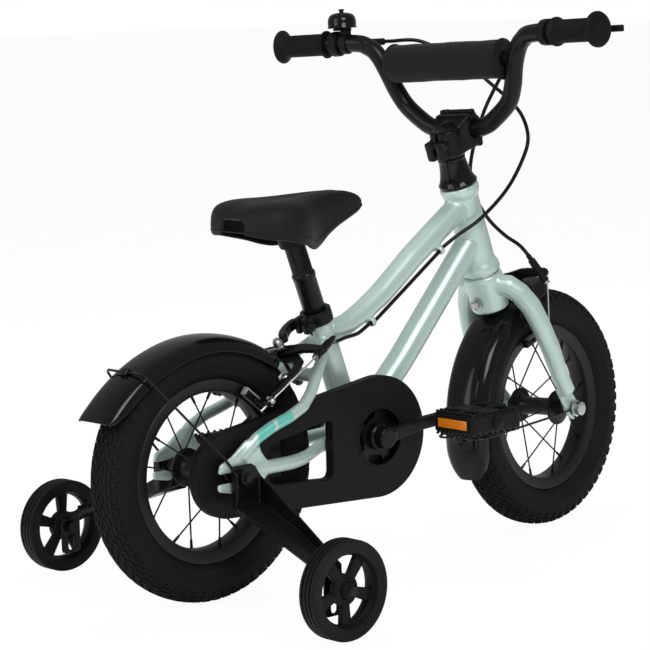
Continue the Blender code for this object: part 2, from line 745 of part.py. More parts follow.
def cranks():
    found = []
    eye = mm(PEDAL_EYE_Y)
    width = mm(PEDAL_EYE_WIDTH) / 2.0
    inner = mm(CRANK_BOSS_INNER)
    outer = mm(CRANK_BOSS_OUTER)
    boss = mm(CRANK_BOSS_RADIUS)
    length = mm(CRANK_LENGTH)
    ring_side = mm(CHAIN_LINE)
    for name, side in (("crank_right", -1), ("crank_left", 1)):
        heading = Vector((math.cos(CRANK_ANGLE), 0.0, math.sin(CRANK_ANGLE))) * -side
        out = SIDEWAYS * side

        def spot(along, across, aside=0.0):
            return CRANK_CENTRE + (heading * along + out * across
                                   + heading.cross(out) * aside) / 1000.0

        profile = [(0.0, inner), (boss, inner), (boss, outer - 1.5), (boss - 1.5, outer), (0.0, outer)]
        if side < 0:
            step = boss - 1.5
            profile = [(0.0, ring_side - 1.9), (step, ring_side - 1.9),
                       (step, ring_side + 1.4), (boss + 3.0, ring_side + 1.4),
                       (boss + 3.0, inner)] + profile[1:]
        body = turned(name, profile, 12, CRANK_CENTRE, out)
        arm = mm(CRANK_ARM_RADIUS)
        path = [(0.0, 57.0, 9.0), (0.32, 58.5, 8.0), (0.60, 62.5, arm), (0.82, 72.0, arm),
                (1.0, eye, arm + 0.6)]
        places = []
        for along, across, half in path:
            for aside in (-half, half):
                for depth in (-4.2, 4.2):
                    places.append(spot(along * length, across + depth, aside))
        links = [hull("arm", places[4 * i:4 * i + 8]) for i in range(len(path) - 1)]
        eye_ring = rod("eye", spot(length, eye - width), spot(length, eye + width), 9.5, 12)
        pin = rod("pedal pin", spot(length, eye), spot(length, eye + 84.0), 4.0, 8)
        body = join(body, links + [eye_ring, pin])
        hole = rod("spindle hole", CRANK_CENTRE, spot(0.0, 62.3), mm(SPINDLE_RADIUS) + SLIP, 12)
        found.append(finish(cut(body, [hole]), BLACK, 0.2, 0.3))
    spindle = rod("crank_spindle", CRANK_CENTRE - SIDEWAYS * 0.062, CRANK_CENTRE + SIDEWAYS * 0.062,
                  mm(SPINDLE_RADIUS), 12)
    found.append(finish(spindle, STEEL, 0.35, 0.9))
    return found


def pedals():
    found = []
    for name, side in (("pedal_right", -1), ("pedal_left", 1)):
        heading = Vector((math.cos(CRANK_ANGLE), 0.0, math.sin(CRANK_ANGLE))) * -side
        centre = CRANK_CENTRE + heading * CRANK_LENGTH
        start = mm(PEDAL_EYE_Y) + mm(PEDAL_EYE_WIDTH) / 2.0 + 1.0
        middle = start + 7.0 + mm(PEDAL_WIDTH) / 2.0
        size = (mm(PEDAL_LENGTH), mm(PEDAL_WIDTH), mm(PEDAL_HEIGHT))
        place = Matrix.Translation(centre + SIDEWAYS * side * middle / 1000.0)
        body = block(name, size, place, 3.5)
        body.data.transform(Matrix.Translation(SIDEWAYS * side * middle / 1000.0))
        body.matrix_world = Matrix.Translation(centre)
        neck = rod("neck", centre + SIDEWAYS * side * start / 1000.0,
                   centre + SIDEWAYS * side * (start + 12.0) / 1000.0, 10.5, 12)
        body = join(body, [neck])
        holes = [rod("pin hole", centre + SIDEWAYS * side * (start - 3.0) / 1000.0,
                     centre + SIDEWAYS * side * (start + 79.0) / 1000.0, 4.3, 8)]
        for x in (-24.5, 24.5):
            for y in (-15.0, 15.0):
                spot = centre + SIDEWAYS * side * (middle + y) / 1000.0 + Vector((x / 1000.0, 0, 0))
                holes.append(block("opening", (19.0, 23.0, 60.0), Matrix.Translation(spot)))
        found.append(finish(cut(body, holes), BLACK, 0.5))
    return found


def wheel(prefix, axle, hub_width, sprocket_side):
    """A tyre, its rim, and its hub with the spokes."""
    sides = WHEEL_SIDES
    grow = 1.0 / math.cos(math.pi / sides)
    tread = mm(WHEEL_RADIUS)
    half = mm(TYRE_WIDTH) / 2.0
    foot = mm(WHEEL_RADIUS - TYRE_HEIGHT)
    one_side = [(foot, 11.4), (foot + 4.0, half - 6.5), (tread - 31.5, half - 0.9),
                (tread - 18.5, half), (tread - 7.5, half - 4.0), (tread, mm(TREAD_WIDTH) / 2.0)]
    outer = one_side + [(r, -y) for r, y in reversed(one_side)]
    hollow = [(foot + 6.0, 9.0), (tread - 12.5, half - 10.3)]
    inner = [(r, -y) for r, y in hollow] + [(r, y) for r, y in reversed(hollow)]
    section = [(r * grow, -y) for r, y in outer + inner]
    tyre = turned(prefix + "_tyre", section, sides, axle, SIDEWAYS,
                  closed=True, half_step=True)
    finish(tyre, RUBBER, 0.75)
    lip = mm(RIM_WIDTH) / 2.0
    seat_radius = foot - SLIP
    base = foot - mm(RIM_DEPTH)
    rim = turned(prefix + "_rim", [
        (r * grow, y) for r, y in (
            (seat_radius - 5.0, -8.0), (seat_radius - 5.0, 8.0), (seat_radius, 11.1),
            (seat_radius, lip), (base, lip - 2.5), (base, 2.5 - lip), (seat_radius, -lip),
            (seat_radius, -11.1))],
        sides, axle, SIDEWAYS, closed=True, half_step=True)
    finish(rim, BLACK, 0.35)
    end = hub_width / 2.0 - 6.0
    bore = mm(AXLE_RADIUS) + SLIP
    profile = [(bore, -end), (9.0, -end), (10.0, -33.0), (22.0, -31.5), (22.0, -28.5), (12.5, -26.0),
               (12.5, 26.0), (22.0, 28.5), (22.0, 31.5), (10.0, 33.0), (9.0, end), (bore, end)]
    if sprocket_side:
        profile = [(bore, -end), (9.0, -end), (9.0, -44.5), (16.0, -44.5), (16.0, -34.0)] + profile[3:]
    hub = turned(prefix + "_hub", profile, 12, axle, SIDEWAYS, closed=True)
    spokes = []
    for i in range(SPOKE_COUNT):
        angle = math.tau * (i + 0.5) / SPOKE_COUNT
        side = 1 if i % 2 else -1
        lean = 0.30 if (i // 2) % 2 else -0.30
        start = Vector((19.0 * math.cos(angle + lean), side * 30.0, 19.0 * math.sin(angle + lean)))
        stop = Vector(((base - 0.6) * math.cos(angle), side * 4.0, (base - 0.6) * math.sin(angle)))
        spokes.append(rod("spoke", axle + start / 1000.0, axle + stop / 1000.0,
                          mm(SPOKE_RADIUS), 3))
    finish(join(hub, spokes), BLACK, 0.3, 0.5)


def rear_axle():
    """The axle with its cones and outer nuts, outermost nuts over the stabiliser brackets."""
    rod_radius = mm(AXLE_RADIUS)
    inner = mm(REAR_HUB_WIDTH) / 2.0 - SLIP
    nut = REAR_STACK[2] + SLIP
    one_side = [(rod_radius, inner - 5.0), (8.5, inner - 5.0), (8.5, inner), (rod_radius, inner),
                (rod_radius, nut), (9.8, nut), (9.8, nut + 1.5), (8.4, nut + 2.0),
                (8.4, nut + 9.5), (rod_radius, nut + 10.0), (rod_radius, nut + 13.0), (0.0, nut + 13.0)]
    profile = [(r, -y) for r, y in reversed(one_side)] + one_side
    return finish(turned("rear_axle", profile, 8, REAR_AXLE, SIDEWAYS), STEEL, 0.35, 0.9)


def front_axle():
    rod_radius = mm(AXLE_RADIUS)
    inner = mm(FRONT_HUB_WIDTH) / 2.0 - SLIP
    nut = FRONT_STACK[1] + SLIP
    one_side = [(rod_radius, inner - 5.0), (8.5, inner - 5.0), (8.5, inner), (rod_radius, inner),
                (rod_radius, nut), (11.0, nut), (11.0, nut + 1.5), (9.0, nut + 2.0),
                (9.0, nut + 9.0), (rod_radius, nut + 9.5), (0.0, nut + 9.5)]
    profile = [(r, -y) for r, y in reversed(one_side)] + one_side
    return finish(turned("front_axle", profile, 8, FRONT_AXLE, SIDEWAYS), STEEL, 0.35, 0.9)


def guard_rows(axle, stations, half_width, depth):
    """Rows of points inside a mudguard: stations are (angle, flare, share of drop, share of width)."""
    section = [(-1.0, 1.0), (-0.93, 0.55), (-0.62, 0.12), (0.0, 0.0), (0.62, 0.12), (0.93, 0.55),
               (1.0, 1.0)]
    rows = []
    for degrees, radius, part, width in stations:
        angle = math.radians(degrees)
        row = []
        for across, drop in section:
            reach = mm(WHEEL_RADIUS + GUARD_CLEARANCE) + radius - drop * depth * part
            row.append(axle + Vector((reach * math.cos(angle), across * half_width * width,
                                      reach * math.sin(angle))) / 1000.0)
        rows.append(row)
    return rows


def rear_mudguard():
    stations = [(50.0, -1.5, 0.8, 1.0), (60.0, -1.8, 1.0, 1.0), (75.0, -2.2, 1.0, 1.0),
                (90.0, -2.2, 1.0, 1.0), (101.0, -1.8, 1.0, 1.0), (112.0, -0.6, 1.0, 1.0),
                (122.0, 1.8, 1.0, 1.0), (130.0, 4.6, 1.0, 1.0), (138.0, 8.2, 1.0, 1.0),
                (146.0, 12.2, 0.9, 1.0), (151.0, 14.6, 0.6, 0.98), (154.0, 16.0, 0.3, 0.90)]
    half_width = mm(GUARD_WIDTH) / 2.0
    guard = sheet("rear_mudguard", guard_rows(REAR_AXLE, stations, half_width, mm(GUARD_DEPTH)),
                  mm(GUARD_WALL))
    hole = REAR_BOLT_FOOT + REAR_BOLT_AXIS * REAR_TAB_T / 1000.0
    end = around(REAR_AXLE, 51.8, 0.0)
    tab = []
    for y in (-8.0, 8.0):
        for place in (hole, end):
            for lift in (-0.8, 0.8):
                tab.append(place + SIDEWAYS * y / 1000.0 + REAR_BOLT_AXIS * lift / 1000.0)
    ring = rod("tab ring", hole - REAR_BOLT_AXIS * 0.0007, hole + REAR_BOLT_AXIS * 0.0007, 8.7, 12)
    wire = rear_wire_corner()
    inward = (REAR_AXLE - wire)
    inward.y = 0.0
    inward.normalize()
    clip = block("wire clip", (13.0, 12.0, 8.0), axis_frame(wire + inward * 0.0012, -inward))
    body = join(guard, [hull("tab", tab), ring, clip])
    cutters = [rod("bolt hole", hole - REAR_BOLT_AXIS * 0.004, hole + REAR_BOLT_AXIS * 0.004,
                   mm(BRAKE_BOLT_RADIUS) + SLIP, 8),
               rod("wire hole", wire - SIDEWAYS * 0.02, wire + SIDEWAYS * 0.02,
                   mm(STAY_WIRE_RADIUS) + 0.4, 8)]
    return finish(cut(body, cutters), BLACK, 0.15)


def around(axle, degrees, lift):
    """A point over an axle, in the middle plane, lift millimetres outside the mudguard's inside."""
    angle = math.radians(degrees)
    reach = WHEEL_RADIUS + GUARD_CLEARANCE + lift / 1000.0
    return axle + Vector((math.cos(angle), 0.0, math.sin(angle))) * reach


def rear_wire_corner():
    """Where the stay wire crosses the rear mudguard."""
    return around(REAR_AXLE, 130.5, 8.6)


def wire_stay(name, axle, corner, half_cross, stack):
    """A wire from an eye on the axle, up and over the mudguard and down to the other eye."""
    away = (corner - axle).normalized()
    aside = SIDEWAYS * (stack[0] + stack[1]) / 2000.0
    cross = SIDEWAYS * half_cross / 1000.0
    eyes = []
    path = []
    for side in (-1, 1):
        foot = axle + aside * side + away * 0.0080
        knee = axle + aside * side + away * 0.0320
        turn = knee.lerp(corner + cross * side, 0.97)
        leg = [foot, knee, turn, corner + cross * side * 0.88]
        path += leg if side < 0 else leg[::-1]
        eyes.append(rod("eye", axle + SIDEWAYS * side * stack[0] / 1000.0,
                        axle + SIDEWAYS * side * stack[1] / 1000.0, 8.6, 12))
    wire = bar(name, path, mm(STAY_WIRE_RADIUS), 6)
    body = join(wire, eyes)
    hole = rod("axle hole", axle - SIDEWAYS * 0.1, axle + SIDEWAYS * 0.1, mm(AXLE_RADIUS) + SLIP, 8)
    return finish(cut(body, [hole]), STEEL, 0.3, 0.9)


def stabiliser_wheel(word, centre, out):
    """A wheel with a plain tread and open gaps between its spokes."""
    radius = mm(STABILISER_RADIUS)
    grow = 1.0 / math.cos(math.pi / STABILISER_SIDES)
    half = mm(STABILISER_WIDTH) / 2.0
    bore = mm(STABILISER_AXLE_RADIUS) + SLIP
    web = mm(STABILISER_WEB) / 2.0
    gap_end = radius - mm(STABILISER_RIM_DEPTH)
    one_side = [(bore, half + 1.75), (9.5, half + 1.75), (11.0, web), (gap_end + 0.5, web),
                (gap_end + 3.5, half), (radius * grow - 3.8, half), (radius * grow, half - 4.5)]
    profile = one_side + [(r, -y) for r, y in reversed(one_side)]
    body = turned("stabiliser_wheel_" + word, profile, STABILISER_SIDES, centre, out,
                  closed=True, half_step=True)
    openings = []
    step = math.tau / STABILISER_SPOKES
    for i in range(STABILISER_SPOKES):
        middle = step * (i + 0.5) - math.pi / 2.0
        turns = [step / 2.0 - math.asin(mm(STABILISER_SPOKE_WIDTH) / 2.0 / reach)
                 for reach in (15.0, gap_end)]
        corners = [(15.0, -turns[0]), (gap_end, -turns[1]), (gap_end, 0.0), (gap_end, turns[1]),
                   (15.0, turns[0])]
        outline = [(r * math.cos(middle + t), r * math.sin(middle + t)) for r, t in corners]
        openings.append(plate("opening", [outline], 4.0 * web,
                              upright(centre.y, Vector((centre.x, 0.0, centre.z)))))
    finish(cut(body, openings), BLACK, 0.5)


def stabiliser_bracket(word, side, centre):
    """A plate on the axle, an open trough outwards, and a slotted tongue for the wheel's bolt."""
    inner = REAR_STACK[1] + SLIP
    outer = REAR_STACK[2]
    thick = mm(BRACKET_THICKNESS)
    edge = [(-13.5, 10.0), (-9.5, 14.0), (16.0, 14.0), (22.0, 10.0), (29.0, -1.0), (29.0, -31.0),
            (26.0, -33.5), (-10.5, -33.5), (-13.5, -31.0)]
    body = plate("stabiliser_bracket_" + word, [edge], thick,
                 upright(side * (inner + outer) / 2000.0, REAR_AXLE))
    rolled = [Vector((x, side * y, mm(WHEEL_RADIUS) + z)) / 1000.0
              for x in (-13.5, -11.0) for y, z in ((outer - 2.0, 9.0), (outer + 4.0, 9.0),
                                                   (outer + 8.0, 4.0), (outer + 8.0, -26.0),
                                                   (outer - 2.0, -31.0))]
    bolt_height = mm(STABILISER_RADIUS)
    tongue_y = mm(STABILISER_Y) - mm(STABILISER_WIDTH) / 2.0 - 5.25
    rings = []
    for y, rear, front, floor, lip, wall in (
            (inner + thick / 2.0, -13.5, 29.0, mm(WHEEL_RADIUS) - 30.5, 3.5, 30.5),
            (138.0, -18.5, 23.5, 98.0, 3.5, 17.0),
            (tongue_y, mm(STABILISER_X) - TONGUE_HALF, mm(STABILISER_X) + TONGUE_HALF,
             bolt_height + 14.5, 3.5, 9.5)):
        section = [(rear, floor + lip), (rear, floor - 2.5), (front, floor - 2.5),
                   (front, floor + wall), (front - 2.5, floor + wall), (front - 2.5, floor),
                   (rear + 2.5, floor), (rear + 2.5, floor + lip)]
        rings.append([Vector((x, side * y, z)) / 1000.0 for x, z in section])
    tongue_frame = upright(side * tongue_y / 1000.0, Vector((centre.x, 0.0, centre.z)))
    tongue = rounded([(-TONGUE_HALF - 0.4, 16.0), (-TONGUE_HALF - 0.4, -32.0),
                      (TONGUE_HALF + 0.4, -32.0), (TONGUE_HALF + 0.4, 16.0)], 5.0, 2)
    slot_half = mm(STABILISER_AXLE_RADIUS) + SLIP
    slot = ribbon([(0.0, 2.0), (0.0, mm(STABILISER_ADJUST) * -1.0)], [slot_half, slot_half], 6)
    body = join(body, [hull("rolled edge", rolled), skinned("arm", rings),
                       plate("tongue", [tongue], thick, tongue_frame)])
    away = SIDEWAYS * side
    cutters = [rod("axle hole", REAR_AXLE, REAR_AXLE + away * 0.1, mm(AXLE_RADIUS) + SLIP, 8),
               plate("slot", [slot], 3.0 * thick, tongue_frame)]
    finish(cut(body, cutters), BLACK, 0.35)


def stabilisers():
    axle = mm(STABILISER_AXLE_RADIUS)
    half = mm(STABILISER_WIDTH) / 2.0
    for word, side in (("right", -1), ("left", 1)):
        out = SIDEWAYS * side
        centre = Vector((STABILISER_X, STABILISER_Y * side, STABILISER_RADIUS))
        stabiliser_wheel(word, centre, out)
        stabiliser_bracket(word, side, centre)
        bolt = turned("stabiliser_axle_" + word, [
            (0.0, -half - 12.75), (7.5, -half - 12.75), (7.5, -half - 7.05), (axle, -half - 7.05),
            (axle, -half - 3.45), (6.5, -half - 3.45), (6.5, -half - 2.05), (axle, -half - 2.05),
            (axle, half + 2.05), (8.0, half + 2.05), (6.0, half + 5.25), (0.0, half + 5.25)],
            8, centre, out)
        finish(bolt, STEEL, 0.35, 0.9)


REAR_STACK = (mm(REAR_HUB_WIDTH / 2.0 + DROPOUT_THICKNESS + GAP),
              mm(REAR_HUB_WIDTH / 2.0 + DROPOUT_THICKNESS + GAP + EYE_THICKNESS),
              mm(REAR_HUB_WIDTH / 2.0 + DROPOUT_THICKNESS + 2.0 * GAP + EYE_THICKNESS
                 + BRACKET_THICKNESS))
FRONT_STACK = (mm(FRONT_HUB_WIDTH / 2.0 + FORK_END_THICKNESS + GAP),
               mm(FRONT_HUB_WIDTH / 2.0 + FORK_END_THICKNESS + GAP + EYE_THICKNESS))
REAR_BOLT_FOOT = at(144.0, 0.0, 95.5)
REAR_BOLT_AXIS = Vector((-0.545, 0.0, 0.839)).normalized()
REAR_TAB_T = 37.2
TONGUE_HALF = 13.5
CROWN_TOP = -HEAD_LENGTH * 500.0 - HEADSET_GAP * 1000.0 + 0.2
FRONT_BOLT_UP = CROWN_TOP - 31.0
FRONT_BOLT_FOOT = head(0.0, 0.0, FRONT_BOLT_UP)
STEM_FOOT = HEAD_LENGTH * 500.0 + 0.5 + CONE_HEIGHT * 1000.0 + 0.5
BAR_CENTRE = (STEM_REACH * 1000.0, STEM_FOOT + STEM_RISE * 1000.0)
CABLE_CLIPS = (((380.0, -11.5, 221.2), Vector((0.83, 0.0, 0.55)).normalized()),
               ((262.0, -11.0, 144.5), Vector((0.93, 0.05, 0.36)).normalized()))


def fork():
    top = STEM_FOOT + mm(STEM_HEIGHT) + 1.0
    crown = mm(FORK_CROWN_RADIUS)
    foot = CROWN_TOP - mm(FORK_CROWN_HEIGHT)
    steerer = mm(STEERER_RADIUS)
    body = turned("fork", [
        (0.0, foot), (crown - 2.0, foot), (crown - 1.0, foot + 2.0), (crown, CROWN_TOP - 4.0),
        (crown - 1.0, CROWN_TOP), (steerer, CROWN_TOP), (steerer, top), (steerer - 2.8, top),
        (steerer - 2.8, top - 70.0), (0.0, top - 70.0)], 16, HEAD_MIDDLE, HEAD_UP)
    pieces = []
    leg = mm(FORK_LEG_TOP_RADIUS)
    end = mm(FORK_LEG_END_RADIUS)
    inner = mm(FRONT_HUB_WIDTH) / 2.0
    for side in (-1, 1):
        path = [head(0.0, side * 18.0, CROWN_TOP - 16.0), at(478, side * 30, 167.5),
                at(487, side * 40, 157.5), at(497, side * (inner + 0.0), 139.5),
                at(507, side * (inner + 6.0), 115.5), at(521, side * (inner + 10.0), 83.5)]
        path += [FRONT_AXLE + Vector((x / 1000.0, side * (inner + 10.0) / 1000.0, z / 1000.0))
                 for x, z in ((-31.0, 44.5), (-18.0, 24.0))]
        radii = [leg - 1.0, leg, leg, leg - 0.5, leg - 1.0, leg - 1.5, end + 0.5, end]
        pieces.append(bar("fork leg", path, radii, 10))
        slot = [(5.2, -9.0), (5.2, 1.0), (3.0, 4.6), (0.0, 5.3), (-3.0, 4.6), (-5.2, 1.0), (-5.2, -9.0)]
        edge = [(12.0, -6.0), (13.0, 4.0), (9.0, 40.0), (-9.0, 40.0), (-13.0, 4.0), (-12.0, -6.0),
                (-8.0, -13.0), (-5.2, -14.0)] + slot[::-1] + [(5.2, -14.0), (8.0, -13.0)]
        lean = Matrix.Rotation(math.radians(37.0), 4, "Z")
        matrix = upright(side * (inner + mm(FORK_END_THICKNESS) / 2.0) / 1000.0, FRONT_AXLE) @ lean
        pieces.append(plate("fork end", [edge], mm(FORK_END_THICKNESS), matrix))
    body = join(body, pieces)
    holes = [rod("bolt hole", FRONT_BOLT_FOOT - HEAD_FORWARD * 0.04,
                 FRONT_BOLT_FOOT + HEAD_FORWARD * 0.04, mm(BRAKE_BOLT_RADIUS) + SLIP, 8),
             rod("crown hole", head(0, 0, foot - 5.0), head(0, 0, foot + 4.0), 5.0, 8)]
    return finish(cut(body, holes), MINT, 0.35, 0.6)


def headset_cone():
    half = mm(HEAD_LENGTH) / 2.0
    foot = half + 0.5
    tip = foot + mm(CONE_HEIGHT) - SLIP
    inner = mm(STEERER_RADIUS) + SLIP
    ring = turned("headset_cone", [
        (mm(BEARING_RADIUS) + 1.5, foot), (mm(HEAD_RADIUS) - SLIP, foot),
        (mm(HEAD_RADIUS) - 0.8, foot + 2.5), (20.5, foot + 14.0), (16.5, tip - 2.0),
        (15.8, tip), (inner, tip), (inner, foot + 2.2), (mm(BEARING_RADIUS) + 1.5, foot + 2.2)],
        16, HEAD_MIDDLE, HEAD_UP, closed=True)
    return finish(ring, BLACK, 0.15)


def stem():
    """The clamp on the steerer, the reach to the bar and the fixed half of the bar clamp."""
    foot = STEM_FOOT
    top = foot + mm(STEM_HEIGHT)
    outer = mm(STEM_RADIUS)
    body = turned("stem", [(0.0, foot), (outer - 1.5, foot), (outer, foot + 1.5), (outer, top - 1.5),
                           (outer - 1.5, top), (0.0, top)], 16, HEAD_MIDDLE, HEAD_UP)
    forward, up = BAR_CENTRE
    half = mm(STEM_CLAMP_WIDTH) / 2.0
    tall = mm(STEM_CLAMP_HEIGHT) / 2.0
    reach = hull("reach", [
        head(f, y * side, t) for side in (-1, 1) for f, y, t in (
            (forward - SLIP, half, up - tall), (forward - SLIP, half, up + tall),
            (forward - 9.0, half, up - tall), (forward - 9.0, half, up + tall),
            (forward - 15.0, half - 5.0, up - tall + 4.0), (forward - 15.0, half - 5.0, up + tall - 4.0),
            (4.0, outer - 2.0, foot + 2.0), (4.0, outer - 2.0, top - 1.0))])
    ears = [block("ear", (16.0, 11.0, 24.0), axis_frame(head(-21.0, y, foot + 16.0), HEAD_UP,
                                                       HEAD_FORWARD)) for y in (-8.0, 8.0)]
    bolts = [rod("pinch bolt", head(-23.0, -17.0, foot + t), head(-23.0, 15.5, foot + t), 3.6, 6)
             for t in (9.0, 22.0)]
    body = join(body, [reach] + ears + bolts)
    cutters = [rod("steerer hole", head(0, 0, foot - 5), head(0, 0, top + 5),
                   mm(STEERER_RADIUS) + SLIP, 16),
               rod("bar hole", head(forward, -40, up), head(forward, 40, up),
                   mm(BAR_RADIUS) + SLIP, 16),
               block("pinch slot", (22.0, 3.4, 60.0), axis_frame(head(-24.5, 0, foot + 16.0),
                                                                HEAD_UP, HEAD_FORWARD))]
    bridge = [rod("pinch bolt", head(-23.0, -10.0, foot + t), head(-23.0, 10.0, foot + t), 2.4, 6)
              for t in (9.0, 22.0)]
    return finish(join(cut(body, cutters), bridge), BLACK, 0.4)


def stem_faceplate():
    forward, up = BAR_CENTRE
    half = mm(STEM_CLAMP_WIDTH) / 2.0
    tall = mm(STEM_CLAMP_HEIGHT) / 2.0 + 3.0
    outline = [(0.5, -tall), (6.5, -tall), (7.5, 7.0 - tall), (12.0, -11.0), (14.8, -4.0),
               (14.8, 4.0), (12.0, 11.0), (7.5, tall - 7.0), (6.5, tall), (0.5, tall)]
    matrix = Matrix((HEAD_FORWARD, HEAD_UP, HEAD_FORWARD.cross(HEAD_UP))).transposed().to_4x4()
    matrix.translation = head(forward, 0, up)
    body = plate("stem_faceplate", [outline], 2.0 * half, matrix)
    bolts = [rod("face bolt", head(forward + 4.0, y, up + t), head(forward + 11.0, y, up + t), 4.0, 6)
             for y in (-18.5, 18.5) for t in (4.5 - tall, tall - 4.5)]
    body = join(body, bolts)
    hole = rod("bar hole", head(forward, -40, up), head(forward, 40, up), mm(BAR_RADIUS) + SLIP, 16)
    return finish(cut(body, [hole]), BLACK, 0.4)


BAR_MIDDLE = head(BAR_CENTRE[0], 0.0, BAR_CENTRE[1])
GRIP_START = (-30.0, 145.0, 113.0)
GRIP_HEADING = Vector((-math.sin(math.radians(8.75)), math.cos(math.radians(8.75)), 0.0))


def from_bar(x, y, z):
    """A point by millimetres from the middle of the bar in its clamp."""
    return BAR_MIDDLE + Vector((x, y, z)) / 1000.0


def on_bar(along, side, ahead=0.0, above=0.0):
    """A point by millimetres along the straight end of the bar, ahead of it and above it."""
    ahead_of = Vector((GRIP_HEADING.y, -GRIP_HEADING.x, 0.0))
    place = from_bar(*GRIP_START) + (GRIP_HEADING * along + ahead_of * ahead) / 1000.0
    return Vector((place.x, place.y * side, place.z + above / 1000.0))


def bar_heading(side):
    return Vector((GRIP_HEADING.x, GRIP_HEADING.y * side, 0.0))


def bar_ahead(side):
    return Vector((GRIP_HEADING.y, -GRIP_HEADING.x * side, 0.0))


CROSSBAR_PLACE = (-16.3, 84.0)


def handlebar():
    bend = [(0, 0, 0), (0, 28, 0), (-0.5, 42, 3), (-1.5, 55, 10), (-3, 79, 29.5), (-8, 91, 50),
            (-14.5, 99.5, 74), (-19, 109, 94.5), (-23, 121, 106.5), GRIP_START]
    side = [from_bar(*point) for point in bend] + [on_bar(mm(BAR_END), 1)]
    path = [Vector((place.x, -place.y, place.z)) for place in reversed(side[1:])] + side
    tube = bar("handlebar", path, mm(BAR_RADIUS), 12)
    x, z = CROSSBAR_PLACE
    cross = rod("crossbar", from_bar(x, -103.0, z), from_bar(x, 103.0, z), mm(CROSSBAR_RADIUS), 12)
    return finish(join(tube, [cross]), BLACK, 0.25, 0.2)


def crossbar_pad():
    half = mm(PAD_LENGTH) / 2.0
    outer = mm(PAD_RADIUS)
    bore = mm(CROSSBAR_RADIUS) + SLIP
    pad = turned("crossbar_pad", [
        (bore, -half), (outer - 9.0, -half), (outer, 8.0 - half), (outer, half - 8.0),
        (outer - 9.0, half), (bore, half)], 16, from_bar(CROSSBAR_PLACE[0], 0.0, CROSSBAR_PLACE[1]),
        SIDEWAYS, closed=True)
    return finish(pad, BLACK, 0.4)


def grips():
    found = []
    bore = mm(BAR_RADIUS) + SLIP
    grip = mm(GRIP_RADIUS)
    flange = mm(GRIP_FLANGE_RADIUS)
    end = mm(BAR_END) + 4.0
    first = end - mm(GRIP_LENGTH)
    for word, side in (("right", -1), ("left", 1)):
        profile = [(bore, first), (grip + 3.9, first), (grip + 3.9, first + 3.0),
                   (grip, first + 5.0), (grip, end - 11.0), (flange, end - 5.5), (flange, end - 3.0),
                   (flange - 5.0, end), (0.0, end + 1.0), (0.0, end - 3.4), (bore, end - 3.4)]
        piece = turned("grip_" + word, profile, 14, on_bar(0, side), bar_heading(side), closed=True)
        found.append(finish(piece, RUBBER, 0.7))
    return found


LEVER_PIVOT = (22.0, 24.0)
PERCH_AT = 20.2


def levers():
    """The perch that grips the bar, and the lever that turns about an upright pin in its fork."""
    found = []
    along_pivot, ahead_pivot = LEVER_PIVOT
    for word, side in (("right", -1), ("left", 1)):
        ring = rod("lever_perch_" + word, on_bar(PERCH_AT - 5.5, side), on_bar(PERCH_AT + 5.5, side),
                   16.0, 14)
        across = bar_ahead(side)
        neck = hull("neck", [on_bar(a, side, d, h) for h in (-7.0, 7.0) for a, d in (
            (PERCH_AT - 5.5, 13.5), (PERCH_AT + 5.5, 13.5), (2.0, 20.0), (2.0, 31.0),
            (along_pivot + 2.0, 19.0))])
        fork = [hull("fork", [on_bar(a, side, d, h + lift) for a, d in (
            (2.0, 20.0), (2.0, 32.0), (along_pivot - 2.0, 33.0), (along_pivot + 6.0, 30.0),
            (along_pivot + 7.0, 20.0), (along_pivot, 16.0)) for h in (-1.2, 1.2)])
            for lift in (-6.9, 6.9)]
        barrel = rod("barrel", on_bar(4.0, side, 26.0), on_bar(-34.0, side, 26.0), 4.6, 8)
        stub = rod("stub", on_bar(4.0, side, 26.0), on_bar(-12.0, side, 26.0), 6.5, 8)
        pin = rod("pin", on_bar(along_pivot, side, ahead_pivot, -7.5),
                  on_bar(along_pivot, side, ahead_pivot, 7.5), 2.5, 6)
        body = join(ring, [neck, barrel, stub] + fork)
        cutters = [rod("bar hole", on_bar(-30, side), on_bar(60, side), mm(BAR_RADIUS) + SLIP, 14),
                   lever_room(side)]
        body = cut(body, cutters)
        body = join(body, [pin])
        cord = rod("cord hole", on_bar(6.0, side, 26.0), on_bar(-50.0, side, 26.0),
                   mm(CABLE_RADIUS) + SLIP, 8)
        found.append(finish(cut(body, [cord]), BLACK, 0.4))
        path = [(0.0, 0.0), (7.0, 2.0), (16.0, 8.5), (32.0, 15.5), (52.0, 19.0), (73.0, 20.0)]
        outline = ribbon(path, [6.6, 6.6, 6.2, 5.6, 5.2, 5.6], 6)
        matrix = Matrix((bar_heading(side), across, bar_heading(side).cross(across)))
        matrix = matrix.transposed().to_4x4()
        matrix.translation = on_bar(along_pivot, side, ahead_pivot)
        blade = plate("brake_lever_" + word, [outline, circle(0, 0, 3.1, 8)], 8.0, matrix)
        found.append(finish(blade, BLACK, 0.4))
    return found


def lever_room(side):
    """The gap between the perch's two plates, laid along the bar."""
    along_pivot, ahead_pivot = LEVER_PIVOT
    matrix = Matrix((bar_heading(side), bar_ahead(side), Vector((0.0, 0.0, 1.0))))
    matrix = matrix.transposed().to_4x4()
    matrix.translation = on_bar(along_pivot + 10.0, side, ahead_pivot + 5.0)
    return block("lever room", (40.0, 26.0, 9.4), matrix)


